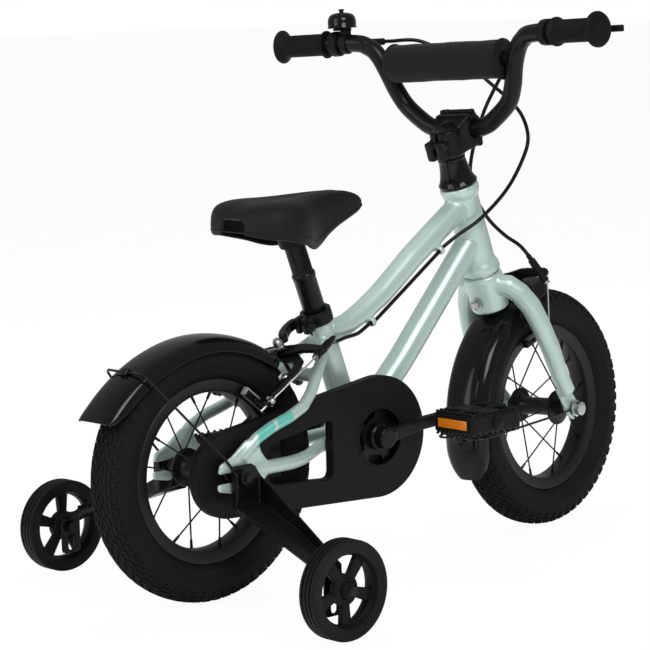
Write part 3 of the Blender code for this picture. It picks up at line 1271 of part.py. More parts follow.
def bell():
    """A strap with a post, the dome over it and the thumb hammer on its own pin."""
    side = 1
    strap_at = 6.5
    base = rod("bell_base", on_bar(strap_at - 4.5, side), on_bar(strap_at + 4.5, side), 13.6, 14)
    foot = on_bar(strap_at + 5.0, side, 0.0, 16.5)
    neck = hull("neck", [on_bar(strap_at + a, side, d, h) for a in (-4.5, 4.5) for d in (-6.0, 6.0)
                         for h in (8.0, 17.0)])
    table = rod("table", foot, foot + Vector((0, 0, 0.0032)), 12.0, 12)
    post = rod("post", foot, foot + Vector((0, 0, 0.0262)), 2.2, 8)
    cap = rod("cap", foot + Vector((0, 0, 0.0252)), foot + Vector((0, 0, 0.0272)), 4.0, 8)
    hammer_pin = foot + bar_ahead(side) * -0.0095
    peg = rod("peg", hammer_pin, hammer_pin + Vector((0, 0, 0.0060)), 1.2, 6)
    body = join(base, [neck, table, post, cap, peg])
    hole = rod("bar hole", on_bar(-30, side), on_bar(60, side), mm(BAR_RADIUS) + SLIP, 14)
    found = [finish(cut(body, [hole]), BLACK, 0.4)]
    radius = mm(BELL_RADIUS)
    dome = turned("bell_dome", [
        (2.6, 24.9), (9.0, 24.0), (14.5, 20.0), (radius, 12.0), (radius, 6.4),
        (radius - 1.2, 6.4), (radius - 1.2, 11.6), (13.4, 19.2), (8.4, 22.8), (2.6, 23.6)],
        16, foot, Vector((0, 0, 1)), closed=True)
    found.append(finish(dome, BLACK, 0.15))
    matrix = Matrix.Translation(hammer_pin + Vector((0, 0, 0.0044)))
    thumb = ribbon([(0.0, 0.0), (-8.0, -5.0), (-14.0, -9.0), (-16.5, -14.0)], [2.6, 1.8, 1.8, 3.4])
    hammer = plate("bell_hammer", [thumb, circle(0, 0, 1.6, 6)], 1.8, matrix)
    found.append(finish(hammer, BLACK, 0.4))
    return found


def front_mudguard():
    stations = [(93.0, 11.0, 0.9, 0.90), (96.0, 8.5, 1.0, 1.0), (101.0, 5.0, 1.0, 1.0),
                (107.0, 2.2, 1.0, 1.0), (120.0, 0.5, 1.0, 1.0), (135.0, 0.6, 1.0, 1.0),
                (150.0, 1.5, 1.0, 1.0), (165.0, 3.0, 1.0, 1.0), (180.0, 5.5, 1.0, 1.0),
                (192.0, 9.0, 0.9, 1.0), (199.0, 10.8, 0.8, 0.88), (205.0, 12.0, 0.5, 0.55)]
    half_width = mm(GUARD_WIDTH) / 2.0
    guard = sheet("front_mudguard", guard_rows(FRONT_AXLE, stations, half_width, mm(GUARD_DEPTH)),
                  mm(GUARD_WALL))
    hole = head(FRONT_TAB_F, 0.0, FRONT_BOLT_UP)
    end = around(FRONT_AXLE, 114.2, 1.6)
    tab = []
    for y in (-8.0, 8.0):
        for place in (hole, end):
            for lift in (-0.8, 0.8):
                tab.append(place + SIDEWAYS * y / 1000.0 + HEAD_FORWARD * lift / 1000.0)
    ring = rod("tab ring", hole - HEAD_FORWARD * 0.0007, hole + HEAD_FORWARD * 0.0007, 8.7, 12)
    wire = front_wire_corner()
    inward = (FRONT_AXLE - wire).normalized()
    clip = block("wire clip", (12.0, 12.0, 7.0), axis_frame(wire + inward * 0.0010, -inward))
    body = join(guard, [hull("tab", tab), ring, clip])
    cutters = [rod("bolt hole", hole - HEAD_FORWARD * 0.004, hole + HEAD_FORWARD * 0.004,
                   mm(BRAKE_BOLT_RADIUS) + SLIP, 8),
               rod("wire hole", wire - SIDEWAYS * 0.02, wire + SIDEWAYS * 0.02,
                   mm(STAY_WIRE_RADIUS) + 0.4, 8)]
    return finish(cut(body, cutters), BLACK, 0.15)


FRONT_TAB_F = 26.0


def front_wire_corner():
    """Where the stay wire crosses the front mudguard, behind the fork."""
    return around(FRONT_AXLE, 186.0, 11.0)


def caliper(prefix, foot, along, upward, cable_side, arms_from, spacer_from, bolt_ends, axle):
    """A side-pull brake: its bolt and the two arms, each with its pad, drawn about the bolt."""
    cross = upward.cross(along)
    matrix = Matrix((cross, upward, along)).transposed().to_4x4()
    matrix.translation = foot
    side = cable_side if cross.y > 0 else -cable_side
    radius = mm(BRAKE_BOLT_RADIUS)
    thick = mm(BRAKE_ARM_THICKNESS)
    bolt_from, bolt_to = bolt_ends
    bolt = turned(prefix + "_bolt", [
        (0.0, bolt_from - 8.0), (4.0, bolt_from - 8.0), (6.0, bolt_from - 5.5),
        (6.0, bolt_from - 1.5), (8.5, bolt_from - 1.5), (8.5, bolt_from), (radius, bolt_from),
        (radius, spacer_from), (7.0, spacer_from), (7.0, arms_from - SLIP),
        (radius, arms_from - SLIP), (radius, bolt_to - 8.0), (6.0, bolt_to - 8.0),
        (6.0, bolt_to - 3.5), (4.2, bolt_to - 0.8), (0.0, bolt_to)], 8, foot, along)
    finish(bolt, STEEL, 0.3, 0.9)
    found = []
    y = mm(BRAKE_ARM_Y)
    length, height, deep = [mm(value) for value in BRAKE_PAD]
    across = mm(RIM_WIDTH) / 2.0 + mm(PAD_TO_RIM) + height / 2.0
    drop = pad_drop(foot + along * (arms_from + thick) / 1000.0 - axle, upward)
    for word, sign, start in (("_arm_a", side, arms_from), ("_arm_b", -side, arms_from + thick + 0.4)):
        middle = start + thick / 2.0
        path = [(0.0, 0.0), (sign * 20.0, -2.5), (sign * 33.0, -8.5), (sign * y, -20.0),
                (sign * y, -60.0), (sign * (y - 2.0), -drop)]
        widths = [9.5, 7.0, 6.0, 4.8, 4.6, 5.6]
        place = matrix @ Matrix.Translation((0.0, 0.0, middle / 1000.0))
        arm = plate(prefix + word, [ribbon(path, widths, 4)], thick, place)
        pieces = []
        pad_centre = place @ Vector((sign * across / 1000.0, -drop / 1000.0, 0.0))
        out = Vector((0.0, math.copysign(1.0, pad_centre.y), 0.0))
        radial = pad_centre - axle
        radial.y = 0.0
        tangent = radial.cross(SIDEWAYS).normalized()
        frame_of_pad = Matrix((tangent, SIDEWAYS, tangent.cross(SIDEWAYS))).transposed().to_4x4()
        frame_of_pad.translation = pad_centre
        pieces.append(block("pad", (length, height, deep), frame_of_pad))
        pieces.append(rod("pad post", pad_centre, pad_centre + out * 0.0245, 3.0, 6))
        pieces.append(rod("pad nut", pad_centre + out * 0.0215, pad_centre + out * 0.0265, 5.5, 6))
        if sign == side:
            shelf = ribbon([(sign * (y - 2.0), -drop + 3.0), (sign * (y + 8.0), -drop + 2.0)], [4.5, 5.5])
            pieces.append(plate("anchor", [shelf], thick, place))
        else:
            horn = ribbon([(0.0, 0.0), (side * 26.0, 10.0), (side * 46.0, 12.0), (side * 60.0, 12.0)],
                          [9.0, 6.5, 5.5, 5.5], 6)
            pieces.append(plate("horn", [horn], thick, place))
            low = place @ (Vector((side * BARREL_LOW[0], BARREL_LOW[1], BARREL_LOW[2])) / 1000.0)
            high = place @ (Vector((side * BARREL_HIGH[0], BARREL_HIGH[1], BARREL_HIGH[2])) / 1000.0)
            pieces.append(rod("barrel", low, high, 5.0, 8))
        arm = join(arm, pieces)
        holes = [rod("bolt hole", foot + along * (start - 3.0) / 1000.0,
                     foot + along * (start + thick + 3.0) / 1000.0, radius + SLIP, 10)]
        entry, _, _, exit_point, anchor, tail = caliper_points(matrix, side, arms_from)
        if sign != side:
            holes.append(rod("cord hole", exit_point, entry, mm(CABLE_RADIUS) + SLIP, 8))
        else:
            above = anchor.lerp(exit_point, 0.3)
            holes.append(rod("wire hole", above, tail.lerp(anchor, -0.2), mm(WIRE_RADIUS) + 0.6, 6))
        found.append(finish(cut(arm, holes), BLACK, 0.35))
    return matrix, side


def pad_drop(hub, upward):
    """How far below its bolt a brake reaches the middle of the rim's side, in millimetres."""
    track = WHEEL_RADIUS - TYRE_HEIGHT - RIM_DEPTH * 0.53
    down = -hub.dot(upward)
    square = down * down - hub.length_squared + track * track
    return mm(-down - math.sqrt(max(square, 0.0)))


BARREL_LOW = (59.0, 0.0, 0.0)
BARREL_HIGH = (49.0, 32.0, -6.0)
ANCHOR = (46.5, -76.0)


def caliper_points(matrix, side, arms_from):
    """Where the cord enters the barrel, leaves it, and reaches its anchor and its end."""
    thick = mm(BRAKE_ARM_THICKNESS)
    upper = arms_from + thick * 1.5 + 0.4
    lower = arms_from + thick / 2.0
    low = Vector((side * BARREL_LOW[0], BARREL_LOW[1], upper + BARREL_LOW[2]))
    high = Vector((side * BARREL_HIGH[0], BARREL_HIGH[1], upper + BARREL_HIGH[2]))
    anchor = Vector((side * ANCHOR[0], ANCHOR[1], lower))
    tail = anchor + (anchor - low).normalized() * 17.0
    local = [high + (high - low) * 0.35, high, low.lerp(high, 0.25), low - (high - low) * 0.1,
             anchor, tail]
    return [matrix @ (point / 1000.0) for point in local]


def brake_cable(name, route, ends):
    """A covered cord along its route, and its bare wire from the barrel to the anchor."""
    entry, high, stop, exit_point, anchor, tail = ends
    covered = smooth(route + [tuple(entry), tuple(high)], 2) + [tuple(stop)]
    radii = [mm(CABLE_RADIUS)] * len(covered)
    bare = [stop.lerp(exit_point, 0.02), exit_point, anchor, tail]
    radii += [mm(WIRE_RADIUS)] * len(bare)
    return finish(bar(name, covered + [tuple(point) for point in bare], radii, 6), BLACK, 0.4)


def steer_matrix(angle):
    """The turn about the steering axis by an angle to the left."""
    return (Matrix.Translation(HEAD_MIDDLE) @ Matrix.Rotation(angle, 4, HEAD_UP)
            @ Matrix.Translation(-HEAD_MIDDLE))


def saddle_ring(x, half_width, top, bottom):
    """One cross-section of the saddle, in millimetres above the ground."""
    height = top - bottom
    side = [(1.0, 0.0), (1.0, 0.45), (0.95, 0.72), (0.80, 0.91), (0.45, 1.0)]
    points = [(half_width * a, bottom + height * b) for a, b in side]
    points += [(0.0, top - min(1.2, height * 0.05))]
    points += [(-half_width * a, bottom + height * b) for a, b in reversed(side)]
    return [Vector((x / 1000.0, y / 1000.0, z / 1000.0)) for y, z in points]


# Saddle cross-sections in millimetres from the top of the seat post: ahead, half width, top, bottom
SADDLE = ((-83.2, 26.0, 17.6, 8.6), (-79.2, 42.0, 24.6, 2.6), (-70.2, 56.0, 30.1, -2.4),
          (-56.2, 64.0, 33.1, -6.9), (-38.2, 66.5, 34.1, -10.4), (-20.2, 61.0, 34.1, -14.4),
          (-5.2, 51.0, 34.6, -19.4), (9.8, 41.0, 35.4, -21.9), (24.8, 33.0, 36.1, -18.4),
          (41.8, 27.5, 36.6, -9.4), (59.8, 24.0, 36.6, -1.4), (79.8, 21.0, 36.1, 5.6),
          (97.8, 17.0, 31.6, 11.1), (107.8, 12.0, 26.1, 15.1), (111.8, 7.0, 22.1, 17.1))
SADDLE_SKIN = 6.0


def saddle():
    """The padded cover with a hollow beneath, and the pan with the socket for the post."""
    post_top = mm(SEAT_TUBE_LENGTH - SEAT_POST_INSERTION + SEAT_POST_LENGTH)
    foot = seat(post_top) * 1000.0
    stations = [(foot.x + x, half_width, foot.z + top, foot.z + bottom)
                for x, half_width, top, bottom in SADDLE]
    cover = skinned("saddle_cover", [saddle_ring(*station) for station in stations])
    hollow = []
    pan = []
    for x, half_width, top, bottom in stations[2:-3]:
        roof = top - 13.0
        hollow.append([(x, -half_width + SADDLE_SKIN, bottom - 30.0),
                       (x, -half_width + SADDLE_SKIN, roof - 6.0),
                       (x, -half_width + SADDLE_SKIN + 7.0, roof),
                       (x, half_width - SADDLE_SKIN - 7.0, roof),
                       (x, half_width - SADDLE_SKIN, roof - 6.0),
                       (x, half_width - SADDLE_SKIN, bottom - 30.0)])
        edge = half_width - SADDLE_SKIN - 1.0
        pan.append([(x, -edge, roof - 10.0), (x, -edge, roof - 7.0), (x, -edge + 7.0, roof - 0.6),
                    (x, edge - 7.0, roof - 0.6), (x, edge, roof - 7.0), (x, edge, roof - 10.0),
                    (x, edge - 8.0, roof - 4.0), (x, -edge + 8.0, roof - 4.0)])
    pan = pan[:-1]
    pan[0] = [(x + 2.0, y, z) for x, y, z in pan[0]]

    def metres(rings):
        return [[Vector(point) / 1000.0 for point in ring] for ring in rings]

    cover = finish(cut(cover, [skinned("hollow", metres(hollow))]), BLACK, 0.5)
    base = skinned("saddle_base", metres(pan))
    bore = mm(SEAT_POST_RADIUS) + SLIP
    base = join(base, [rod("socket", seat(post_top - 24.0), seat(post_top + 14.0), bore + 4.0, 14)])
    base = cut(base, [rod("post hole", seat(post_top - 40.0), seat(post_top + 0.4), bore, 12)])
    return [cover, finish(base, BLACK, 0.5)]


def seat_post():
    radius = mm(SEAT_POST_RADIUS)
    foot = mm(SEAT_TUBE_LENGTH - SEAT_POST_INSERTION)
    top = foot + mm(SEAT_POST_LENGTH)
    tube = turned("seat_post", [(radius - 2.0, foot), (radius, foot), (radius, top),
                                (radius - 2.0, top)], 12, CRANK_CENTRE, SEAT_UP, closed=True)
    return finish(tube, BLACK, 0.3, 0.3)


def rear_cable_route():
    """Millimetre points from the left lever, round in front of the head tube and under the tube."""
    turn = steer_matrix(STEER_AT_REST)
    route = [tuple(turn @ on_bar(along, 1, 26.0)) for along in (2.0, -20.0, -36.0, -44.0)]
    for x, y, z in ((446, 88, 476), (470, 62, 460), (490, 34, 438), (502, 12, 418),
                    (512, -6, 400), (524, -17, 379), (527, -24, 352), (512, -28.5, 326),
                    (480, -30.5, 290), (435, -29.5, 258), (405, -18, 238.5)):
        route.append(tuple(at(x, y, z)))
    for place, along in CABLE_CLIPS:
        middle = at(*place)
        route += [tuple(middle + along * 0.009), tuple(middle), tuple(middle - along * 0.009)]
    for x, y, z in ((235, -14, 134), (208, -19.5, 132), (184, -27, 130)):
        route.append(tuple(at(x, y, z)))
    return route


def front_cable_route():
    route = [tuple(on_bar(along, -1, 26.0)) for along in (2.0, -20.0, -36.0, -44.0)]
    for x, y, z in ((448, -86, 476), (468, -66, 464), (486, -36, 440), (491, -10, 410),
                    (480, 0, 384), (466, 2, 346), (459, 0, 312), (466, -12, 278), (484, -30, 248)):
        route.append(tuple(at(x, y, z)))
    return route


def main():
    global BIKE, CUTTERS
    clear_scene()
    BIKE = bpy.data.collections.new("childs_bicycle")
    CUTTERS = bpy.data.collections.new("cutters")
    bpy.context.scene.collection.children.link(BIKE)
    bpy.context.scene.collection.children.link(CUTTERS)
    CUTTERS.hide_render = True
    frame()
    head_bearings()
    bottom_bracket()
    seat_clamp()
    seat_clamp_lever()
    chain_case()
    chain()
    chainring()
    sprocket()
    cranks()
    pedals()
    wheel("rear", REAR_AXLE, mm(REAR_HUB_WIDTH), True)
    rear_axle()
    rear_mudguard()
    wire_stay("rear_mudguard_stay", REAR_AXLE, rear_wire_corner(), 34.0, REAR_STACK)
    stabilisers()
    seat_post()
    saddle()
    upward = SIDEWAYS.cross(REAR_BOLT_AXIS)
    matrix, side = caliper("rear_brake", REAR_BOLT_FOOT, REAR_BOLT_AXIS, upward, -1, 24.0, 8.5,
                           (-8.5, 52.0), REAR_AXLE)
    brake_cable("rear_brake_cable", rear_cable_route(), caliper_points(matrix, side, 24.0))
    already = set(BIKE.objects)
    fork()
    headset_cone()
    stem()
    stem_faceplate()
    handlebar()
    crossbar_pad()
    grips()
    levers()
    bell()
    wheel("front", FRONT_AXLE, mm(FRONT_HUB_WIDTH), False)
    front_axle()
    front_mudguard()
    wire_stay("front_mudguard_stay", FRONT_AXLE, front_wire_corner(), 34.0, FRONT_STACK)
    matrix, side = caliper("front_brake", FRONT_BOLT_FOOT, HEAD_FORWARD, HEAD_UP, -1, 38.0,
                           FRONT_TAB_F + 1.1, (-25.3, 58.0), FRONT_AXLE)
    brake_cable("front_brake_cable", front_cable_route(), caliper_points(matrix, side, 38.0))
    steering = bpy.data.objects.new("steering axis", None)
    BIKE.objects.link(steering)
    upright_axis = axis_frame(HEAD_MIDDLE, HEAD_UP, HEAD_FORWARD)
    steering.matrix_world = upright_axis
    for obj in BIKE.objects:
        if obj not in already and obj is not steering:
            obj.parent = steering
            obj.matrix_parent_inverse = upright_axis.inverted()
    steering.matrix_world = steer_matrix(STEER_AT_REST) @ upright_axis


main()
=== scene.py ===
"""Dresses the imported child's bicycle: round tyres with tread, padding, reflectors, welds and finishes."""
import json
import math

import bpy
from mathutils import Matrix, Vector

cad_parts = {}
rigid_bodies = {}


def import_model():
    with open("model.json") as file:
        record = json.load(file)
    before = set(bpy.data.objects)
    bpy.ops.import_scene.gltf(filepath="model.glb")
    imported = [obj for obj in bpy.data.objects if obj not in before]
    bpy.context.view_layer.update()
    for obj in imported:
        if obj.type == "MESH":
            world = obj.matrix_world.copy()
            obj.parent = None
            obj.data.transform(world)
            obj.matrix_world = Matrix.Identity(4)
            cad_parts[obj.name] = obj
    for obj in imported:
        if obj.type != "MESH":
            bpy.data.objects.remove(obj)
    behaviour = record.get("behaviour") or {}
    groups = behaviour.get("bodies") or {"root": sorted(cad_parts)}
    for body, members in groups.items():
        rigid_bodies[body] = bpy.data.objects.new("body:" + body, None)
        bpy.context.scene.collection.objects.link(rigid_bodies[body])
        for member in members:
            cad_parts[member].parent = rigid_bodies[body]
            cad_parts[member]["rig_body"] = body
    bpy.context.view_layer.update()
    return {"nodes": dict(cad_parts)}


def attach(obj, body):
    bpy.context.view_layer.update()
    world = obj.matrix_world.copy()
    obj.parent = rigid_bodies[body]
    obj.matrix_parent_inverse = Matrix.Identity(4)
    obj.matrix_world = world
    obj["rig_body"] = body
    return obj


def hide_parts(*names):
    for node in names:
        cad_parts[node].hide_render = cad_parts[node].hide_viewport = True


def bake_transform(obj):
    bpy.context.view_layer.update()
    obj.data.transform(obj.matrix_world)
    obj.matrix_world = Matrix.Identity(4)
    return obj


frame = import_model()

bl_info = {
    "name": "Child's bicycle dressing",
    "version": (1, 0, 0),
    "blender": (4, 5, 0),
    "location": "View3D > Sidebar > Bicycle",
    "description": "Adds the tread, padding, reflectors, welds and finishes to the bicycle's solids",
    "category": "Object",
}

# Places and directions on the bicycle, in metres, as in its solids
HEAD_MIDDLE = Vector((0.4445, 0.0, 0.395))
HEAD_UP = Vector((-0.325568, 0.0, 0.945519))
HEAD_FORWARD = Vector((0.945519, 0.0, 0.325568))
SIDEWAYS = Vector((0.0, 1.0, 0.0))
REAR_AXLE = Vector((0.0, 0.0, 0.1525))
FRONT_AXLE = Vector((0.571, 0.0, 0.1525))
CRANK_CENTRE = Vector((0.236, 0.0, 0.1645))
SEAT_UP = Vector((-0.34694, 0.0, 0.93789))
SEAT_POST_TOP = Vector((0.1402, 0.0, 0.4234))
BAR_MIDDLE = HEAD_MIDDLE + HEAD_FORWARD * 0.0298 + HEAD_UP * 0.1219
GRIP_ENDS = {"right": ((0.41943, -0.13926, 0.63862), (0.41563, -0.24111, 0.64266)),
             "left": ((0.38601, 0.14858, 0.62711), (0.35898, 0.24685, 0.62315))}
PAD_CENTRE = Vector((0.4164, 0.00509, 0.60386))
PAD_AXIS = Vector((-0.11523, 0.99255, -0.03968))
BELL_FOOT = Vector((0.38293, 0.16031, 0.64315))
BELL_UP = Vector((-0.0023, 0.03968, 0.99922))
PEDALS = {"right": Vector((0.32324, -0.1255, 0.18209)), "left": Vector((0.14876, 0.1255, 0.14691))}
STABILISERS = {"right": Vector((-0.0176, -0.2528, 0.0558)), "left": Vector((-0.0176, 0.2528, 0.0558))}
REAR_BRAKE_FOOT = Vector((0.144, 0.0, 0.248))
REAR_BRAKE_AXIS = Vector((-0.54474, 0.0, 0.83860))
REAR_BRAKE_BOLTS = ((65.7, -46.5, 229.0), (99.0, -33.0, 251.0))
REAR_GUARD_CLIP = Vector((-0.1085, 0.0, 0.2796))
FRONT_GUARD_CLIP = Vector((0.4024, 0.0, 0.1348))

# What is drawn straight ahead is turned to where the steering stands at rest
STEER_AT_REST = math.radians(7.0)
STEERED = (Matrix.Translation(HEAD_MIDDLE) @ Matrix.Rotation(STEER_AT_REST, 4, HEAD_UP)
           @ Matrix.Translation(-HEAD_MIDDLE))
WHEELS = (("rear", "rear_wheel", Matrix.Translation(REAR_AXLE)),
          ("front", "front_wheel", STEERED @ Matrix.Translation(FRONT_AXLE)))

# Saddle cross-sections in millimetres from the top of the seat post: ahead, half width, top and bottom
SADDLE = ((-85.2, 20.0, 14.6, -2.5), (-83.2, 31.0, 18.6, -3.0), (-79.2, 44.0, 24.6, -4.0),
          (-70.2, 57.0, 30.1, -5.5), (-56.2, 64.0, 33.1, -6.9), (-38.2, 66.5, 34.1, -10.4),
          (-20.2, 61.0, 34.1, -14.4), (-5.2, 51.0, 34.6, -19.4), (9.8, 41.0, 35.4, -21.9),
          (24.8, 33.0, 36.1, -18.4), (41.8, 27.5, 36.6, -9.4), (59.8, 24.0, 36.6, -1.4),
          (79.8, 21.0, 36.1, 5.6), (97.8, 17.0, 31.6, 11.1), (107.8, 12.0, 26.1, 15.1),
          (111.8, 7.0, 22.1, 17.1))
# Half of the cover's line across, from its turned-under edge to the middle: shares of half width and height
SADDLE_HALF = ((0.86, -0.10), (0.955, -0.06), (1.0, 0.05), (1.005, 0.25), (0.99, 0.50), (0.94, 0.72),
               (0.84, 0.88), (0.66, 0.965), (0.42, 0.995), (0.18, 0.985), (0.0, 0.975))
# The bar's left half, in millimetres from its middle in the clamp
BAR_BEND = ((0, 0, 0), (0, 28, 0), (-0.5, 42, 3), (-1.5, 55, 10), (-3, 79, 29.5), (-8, 91, 50),
            (-14.5, 99.5, 74), (-19, 109, 94.5), (-23, 121, 106.5), (-30.0, 145.0, 113.0),
            (-45.5, 245.8, 113.0))
# The brake cables' routes and the bare wire from each barrel to its anchor, in millimetres
REAR_CABLE = ((410.6, 157.4, 626.8), (416.4, 136.2, 627.7), (420.6, 120.8, 628.3), (422.7, 113.1, 628.6),
              (446.0, 88.0, 628.5), (470.0, 62.0, 612.5), (490.0, 34.0, 590.5), (502.0, 12.0, 570.5),
              (512.0, -6.0, 552.5), (524.0, -17.0, 531.5), (527.0, -24.0, 504.5), (512.0, -28.5, 478.5),
              (480.0, -30.5, 442.5), (435.0, -29.5, 410.5), (405.0, -18.0, 391.0), (387.5, -11.5, 378.7),
              (380.0, -11.5, 373.7), (372.5, -11.5, 368.7), (270.4, -10.5, 300.2), (262.0, -11.0, 297.0),
              (253.6, -11.5, 293.8), (235.0, -14.0, 286.5), (208.0, -19.5, 284.5), (184.0, -27.0, 282.5),
              (166.9, -45.5, 292.1), (156.3, -49.0, 287.8), (133.7, -56.5, 278.5))
REAR_WIRE = ((133.7, -56.5, 278.5), (123.2, -60.0, 274.1), (65.7, -46.5, 229.0), (52.4, -43.7, 218.8))
FRONT_CABLE = ((445.3, -142.2, 638.8), (446.2, -120.3, 637.9), (446.8, -104.3, 637.3), (447.0, -96.3, 637.0),
               (457.4, -75.7, 631.7), (474.9, -54.0, 618.9), (489.4, -23.1, 593.7), (491.5, 2.1, 562.7),
               (486.0, 14.0, 536.0), (479.0, 24.0, 498.0), (477.0, 30.0, 462.0), (484.0, 28.0, 430.0),
               (494.0, 16.0, 402.0), (502.0, -4.0, 382.0), (504.0, -26.0, 371.0), (502.1, -40.5, 362.2),
               (508.2, -43.7, 352.4), (521.1, -50.6, 331.5))
FRONT_WIRE = ((521.1, -50.6, 331.5), (527.1, -53.8, 321.7), (543.1, -41.2, 250.2), (547.0, -38.6, 233.9))

# Mudguards: angle round the axle in degrees, flare in millimetres, share of the edge's drop and of the width
REAR_GUARD = ((50.0, -1.5, 0.8, 0.9), (53.0, -1.6, 0.9, 1), (60.0, -1.8, 1, 1), (75.0, -2.2, 1, 1),
              (90.0, -2.2, 1, 1), (101.0, -1.8, 1, 1), (112.0, -0.6, 1, 1), (122.0, 1.8, 1, 1),
              (130.0, 4.6, 1, 1), (138.0, 8.2, 1, 1), (146.0, 12.2, 0.9, 1), (151.0, 14.6, 0.6, 0.98),
              (154.0, 16.0, 0.3, 0.9))
FRONT_GUARD = ((93.0, 11.0, 0.9, 0.9), (96.0, 8.5, 1, 1), (101.0, 5.0, 1, 1), (107.0, 2.2, 1, 1),
               (120.0, 0.5, 1, 1), (135.0, 0.6, 1, 1), (150.0, 1.5, 1, 1), (165.0, 3.0, 1, 1),
               (180.0, 5.5, 1, 1), (192.0, 9.0, 0.9, 1), (197.0, 10.3, 0.85, 0.94), (201.0, 11.2, 0.7, 0.8),
               (203.6, 11.8, 0.6, 0.64), (205.0, 12.0, 0.5, 0.5))
# The sheet across, as shares of its half width and of the edge's drop
GUARD_SECTION = ((-1.0, 1.0), (-0.985, 0.72), (-0.93, 0.45), (-0.80, 0.24), (-0.62, 0.11), (-0.32, 0.03),
                 (0.0, 0.0), (0.32, 0.03), (0.62, 0.11), (0.80, 0.24), (0.93, 0.45), (0.985, 0.72),
                 (1.0, 1.0))
GUARD_RADIUS, GUARD_HALF_WIDTH, GUARD_DROP, GUARD_THICKNESS = 158.5, 30.0, 16.0, 1.6

# Half thicknesses of wires, tubes and beads, in millimetres
BAR_TUBE, CROSSBAR_TUBE, CROSSBAR_WELD = 11.0, 8.0, 1.6
CABLE_SLEEVE, SLEEVE_CAP, SLEEVE_COLLAR = 2.4, 3.2, 3.3
BARE_WIRE, FERRULE, BARREL = 1.0, 1.6, 3.6
NIPPLE, SPOKE_HEAD, VALVE = 1.9, 1.7, 3.0
GUARD_EDGE, SADDLE_SEAM, PAD_BINDING = 1.25, 0.9, 1.1
# Half thicknesses of the frame's tubes where they are welded, in metres
HEAD_TUBE, SEAT_TUBE, TOP_TUBE, TOP_TUBE_END, DOWN_TUBE = 0.0207, 0.0160, 0.0155, 0.0130, 0.0165
# Brake pads: size in millimetres, and places from the axle and from the wheel's middle, in metres
BRAKE_PAD, BRAKE_PAD_RADIUS, BRAKE_PAD_SIDE = (43.0, 7.8, 10.3), 0.0987, 0.0212

# Chain case: the crank's place from the rear axle and the radii round the sprockets, in millimetres
CRANK_AHEAD, CRANK_ABOVE = 236.0, 12.0
CASE_REAR_RADIUS, CASE_FRONT_RADIUS = 50.04, 73.45
WINDOW_REAR_RADIUS, WINDOW_FRONT_RADIUS = 15.74, 45.95
WINDOW_START, WINDOW_END, WINDOW_CORNER = 59.0, 159.5, 11.0

# Painted bars on the seat stays, in metres: length and spacing along X, where they end, and the places that
# they lie outside of and above
BAR_LENGTH, BAR_SPACING, BARS_END = 0.024, 0.029, 0.087
BARS_OUTSIDE, BARS_ABOVE = 0.0612, 0.181
# Above this height only the end of the steerer wears the paint, and it shows black
STEERER_ABOVE = 0.4604

# The photo's camera, fitted to a picture of 650 by 650 pixels
PICTURE = 650.0
CAMERA_PLACE = (-1.8447, -2.2419, 0.7056)
CAMERA_YAW, CAMERA_PITCH, CAMERA_ROLL = 0.8353, -0.1331, 0.0253
FOCAL_PIXELS = 2564.5
OPTICAL_CENTRE = (318.23, 325.12)
SENSOR = 36.0
# Area lamps: place, size and power
LAMPS = {"key_lamp": ((-0.9, -2.3, 2.6), 1.6, 62.0), "fill_lamp": ((-2.6, 0.6, 1.5), 1.8, 26.0),
         "top_lamp": ((0.6, 0.4, 2.8), 1.4, 38.0), "rim_lamp": ((2.4, 1.6, 1.6), 1.2, 24.0)}
MIRRORED_LAMPS = ("key_lamp", "fill_lamp")
LAMP_TARGET = Vector((0.28, 0.0, 0.30))
WHITE = (1.0, 1.0, 1.0, 1.0)
MATERIALS = {}


class BicycleSizes(bpy.types.PropertyGroup):
    """Sizes of the pieces that this script adds."""
    tyre_radius: bpy.props.FloatProperty(
        name="Tyre radius", description="From the axle to the top of the tread blocks",
        default=0.1528, min=0.05, max=0.4, unit="LENGTH")
    block_height: bpy.props.FloatProperty(
        name="Tread block height", description="How far the tread blocks stand out",
        default=0.0017, min=0.0, max=0.01, unit="LENGTH")
    tread_steps: bpy.props.IntProperty(
        name="Tread steps", description="Faces round the tyre; three make one tread block and its gap",
        default=180, min=24, max=360)
    spoke_radius: bpy.props.FloatProperty(
        name="Spoke radius", description="Half the thickness of a spoke",
        default=0.0010, min=0.0005, max=0.01, unit="LENGTH")
    spoke_count: bpy.props.IntProperty(
        name="Spokes", description="Spokes in one wheel", default=16, min=4, max=48)
    pad_radius: bpy.props.FloatProperty(
        name="Pad radius", description="Half the thickness of the crossbar pad",
        default=0.0255, min=0.01, max=0.08, unit="LENGTH")
    weld_radius: bpy.props.FloatProperty(
        name="Weld radius", description="Half the width of a weld bead",
        default=0.0019, min=0.0005, max=0.01, unit="LENGTH")


class BicycleColours(bpy.types.PropertyGroup):
    """Colours of the finishes, as sRGB hex values."""
    paint: bpy.props.StringProperty(
        name="Frame paint", description="Pale mint metallic paint", default="B7CCC6")
    stripe: bpy.props.StringProperty(
        name="Stripes", description="Plain teal bars on the stays", default="6CC6B8")
    black: bpy.props.StringProperty(
        name="Black enamel", description="Cast and forged parts", default="0B0B0C")
    rubber: bpy.props.StringProperty(
        name="Tyre rubber", description="Both tyres", default="0F0F10")
    amber: bpy.props.StringProperty(
        name="Reflectors", description="Amber pedal reflectors", default="E88A12")


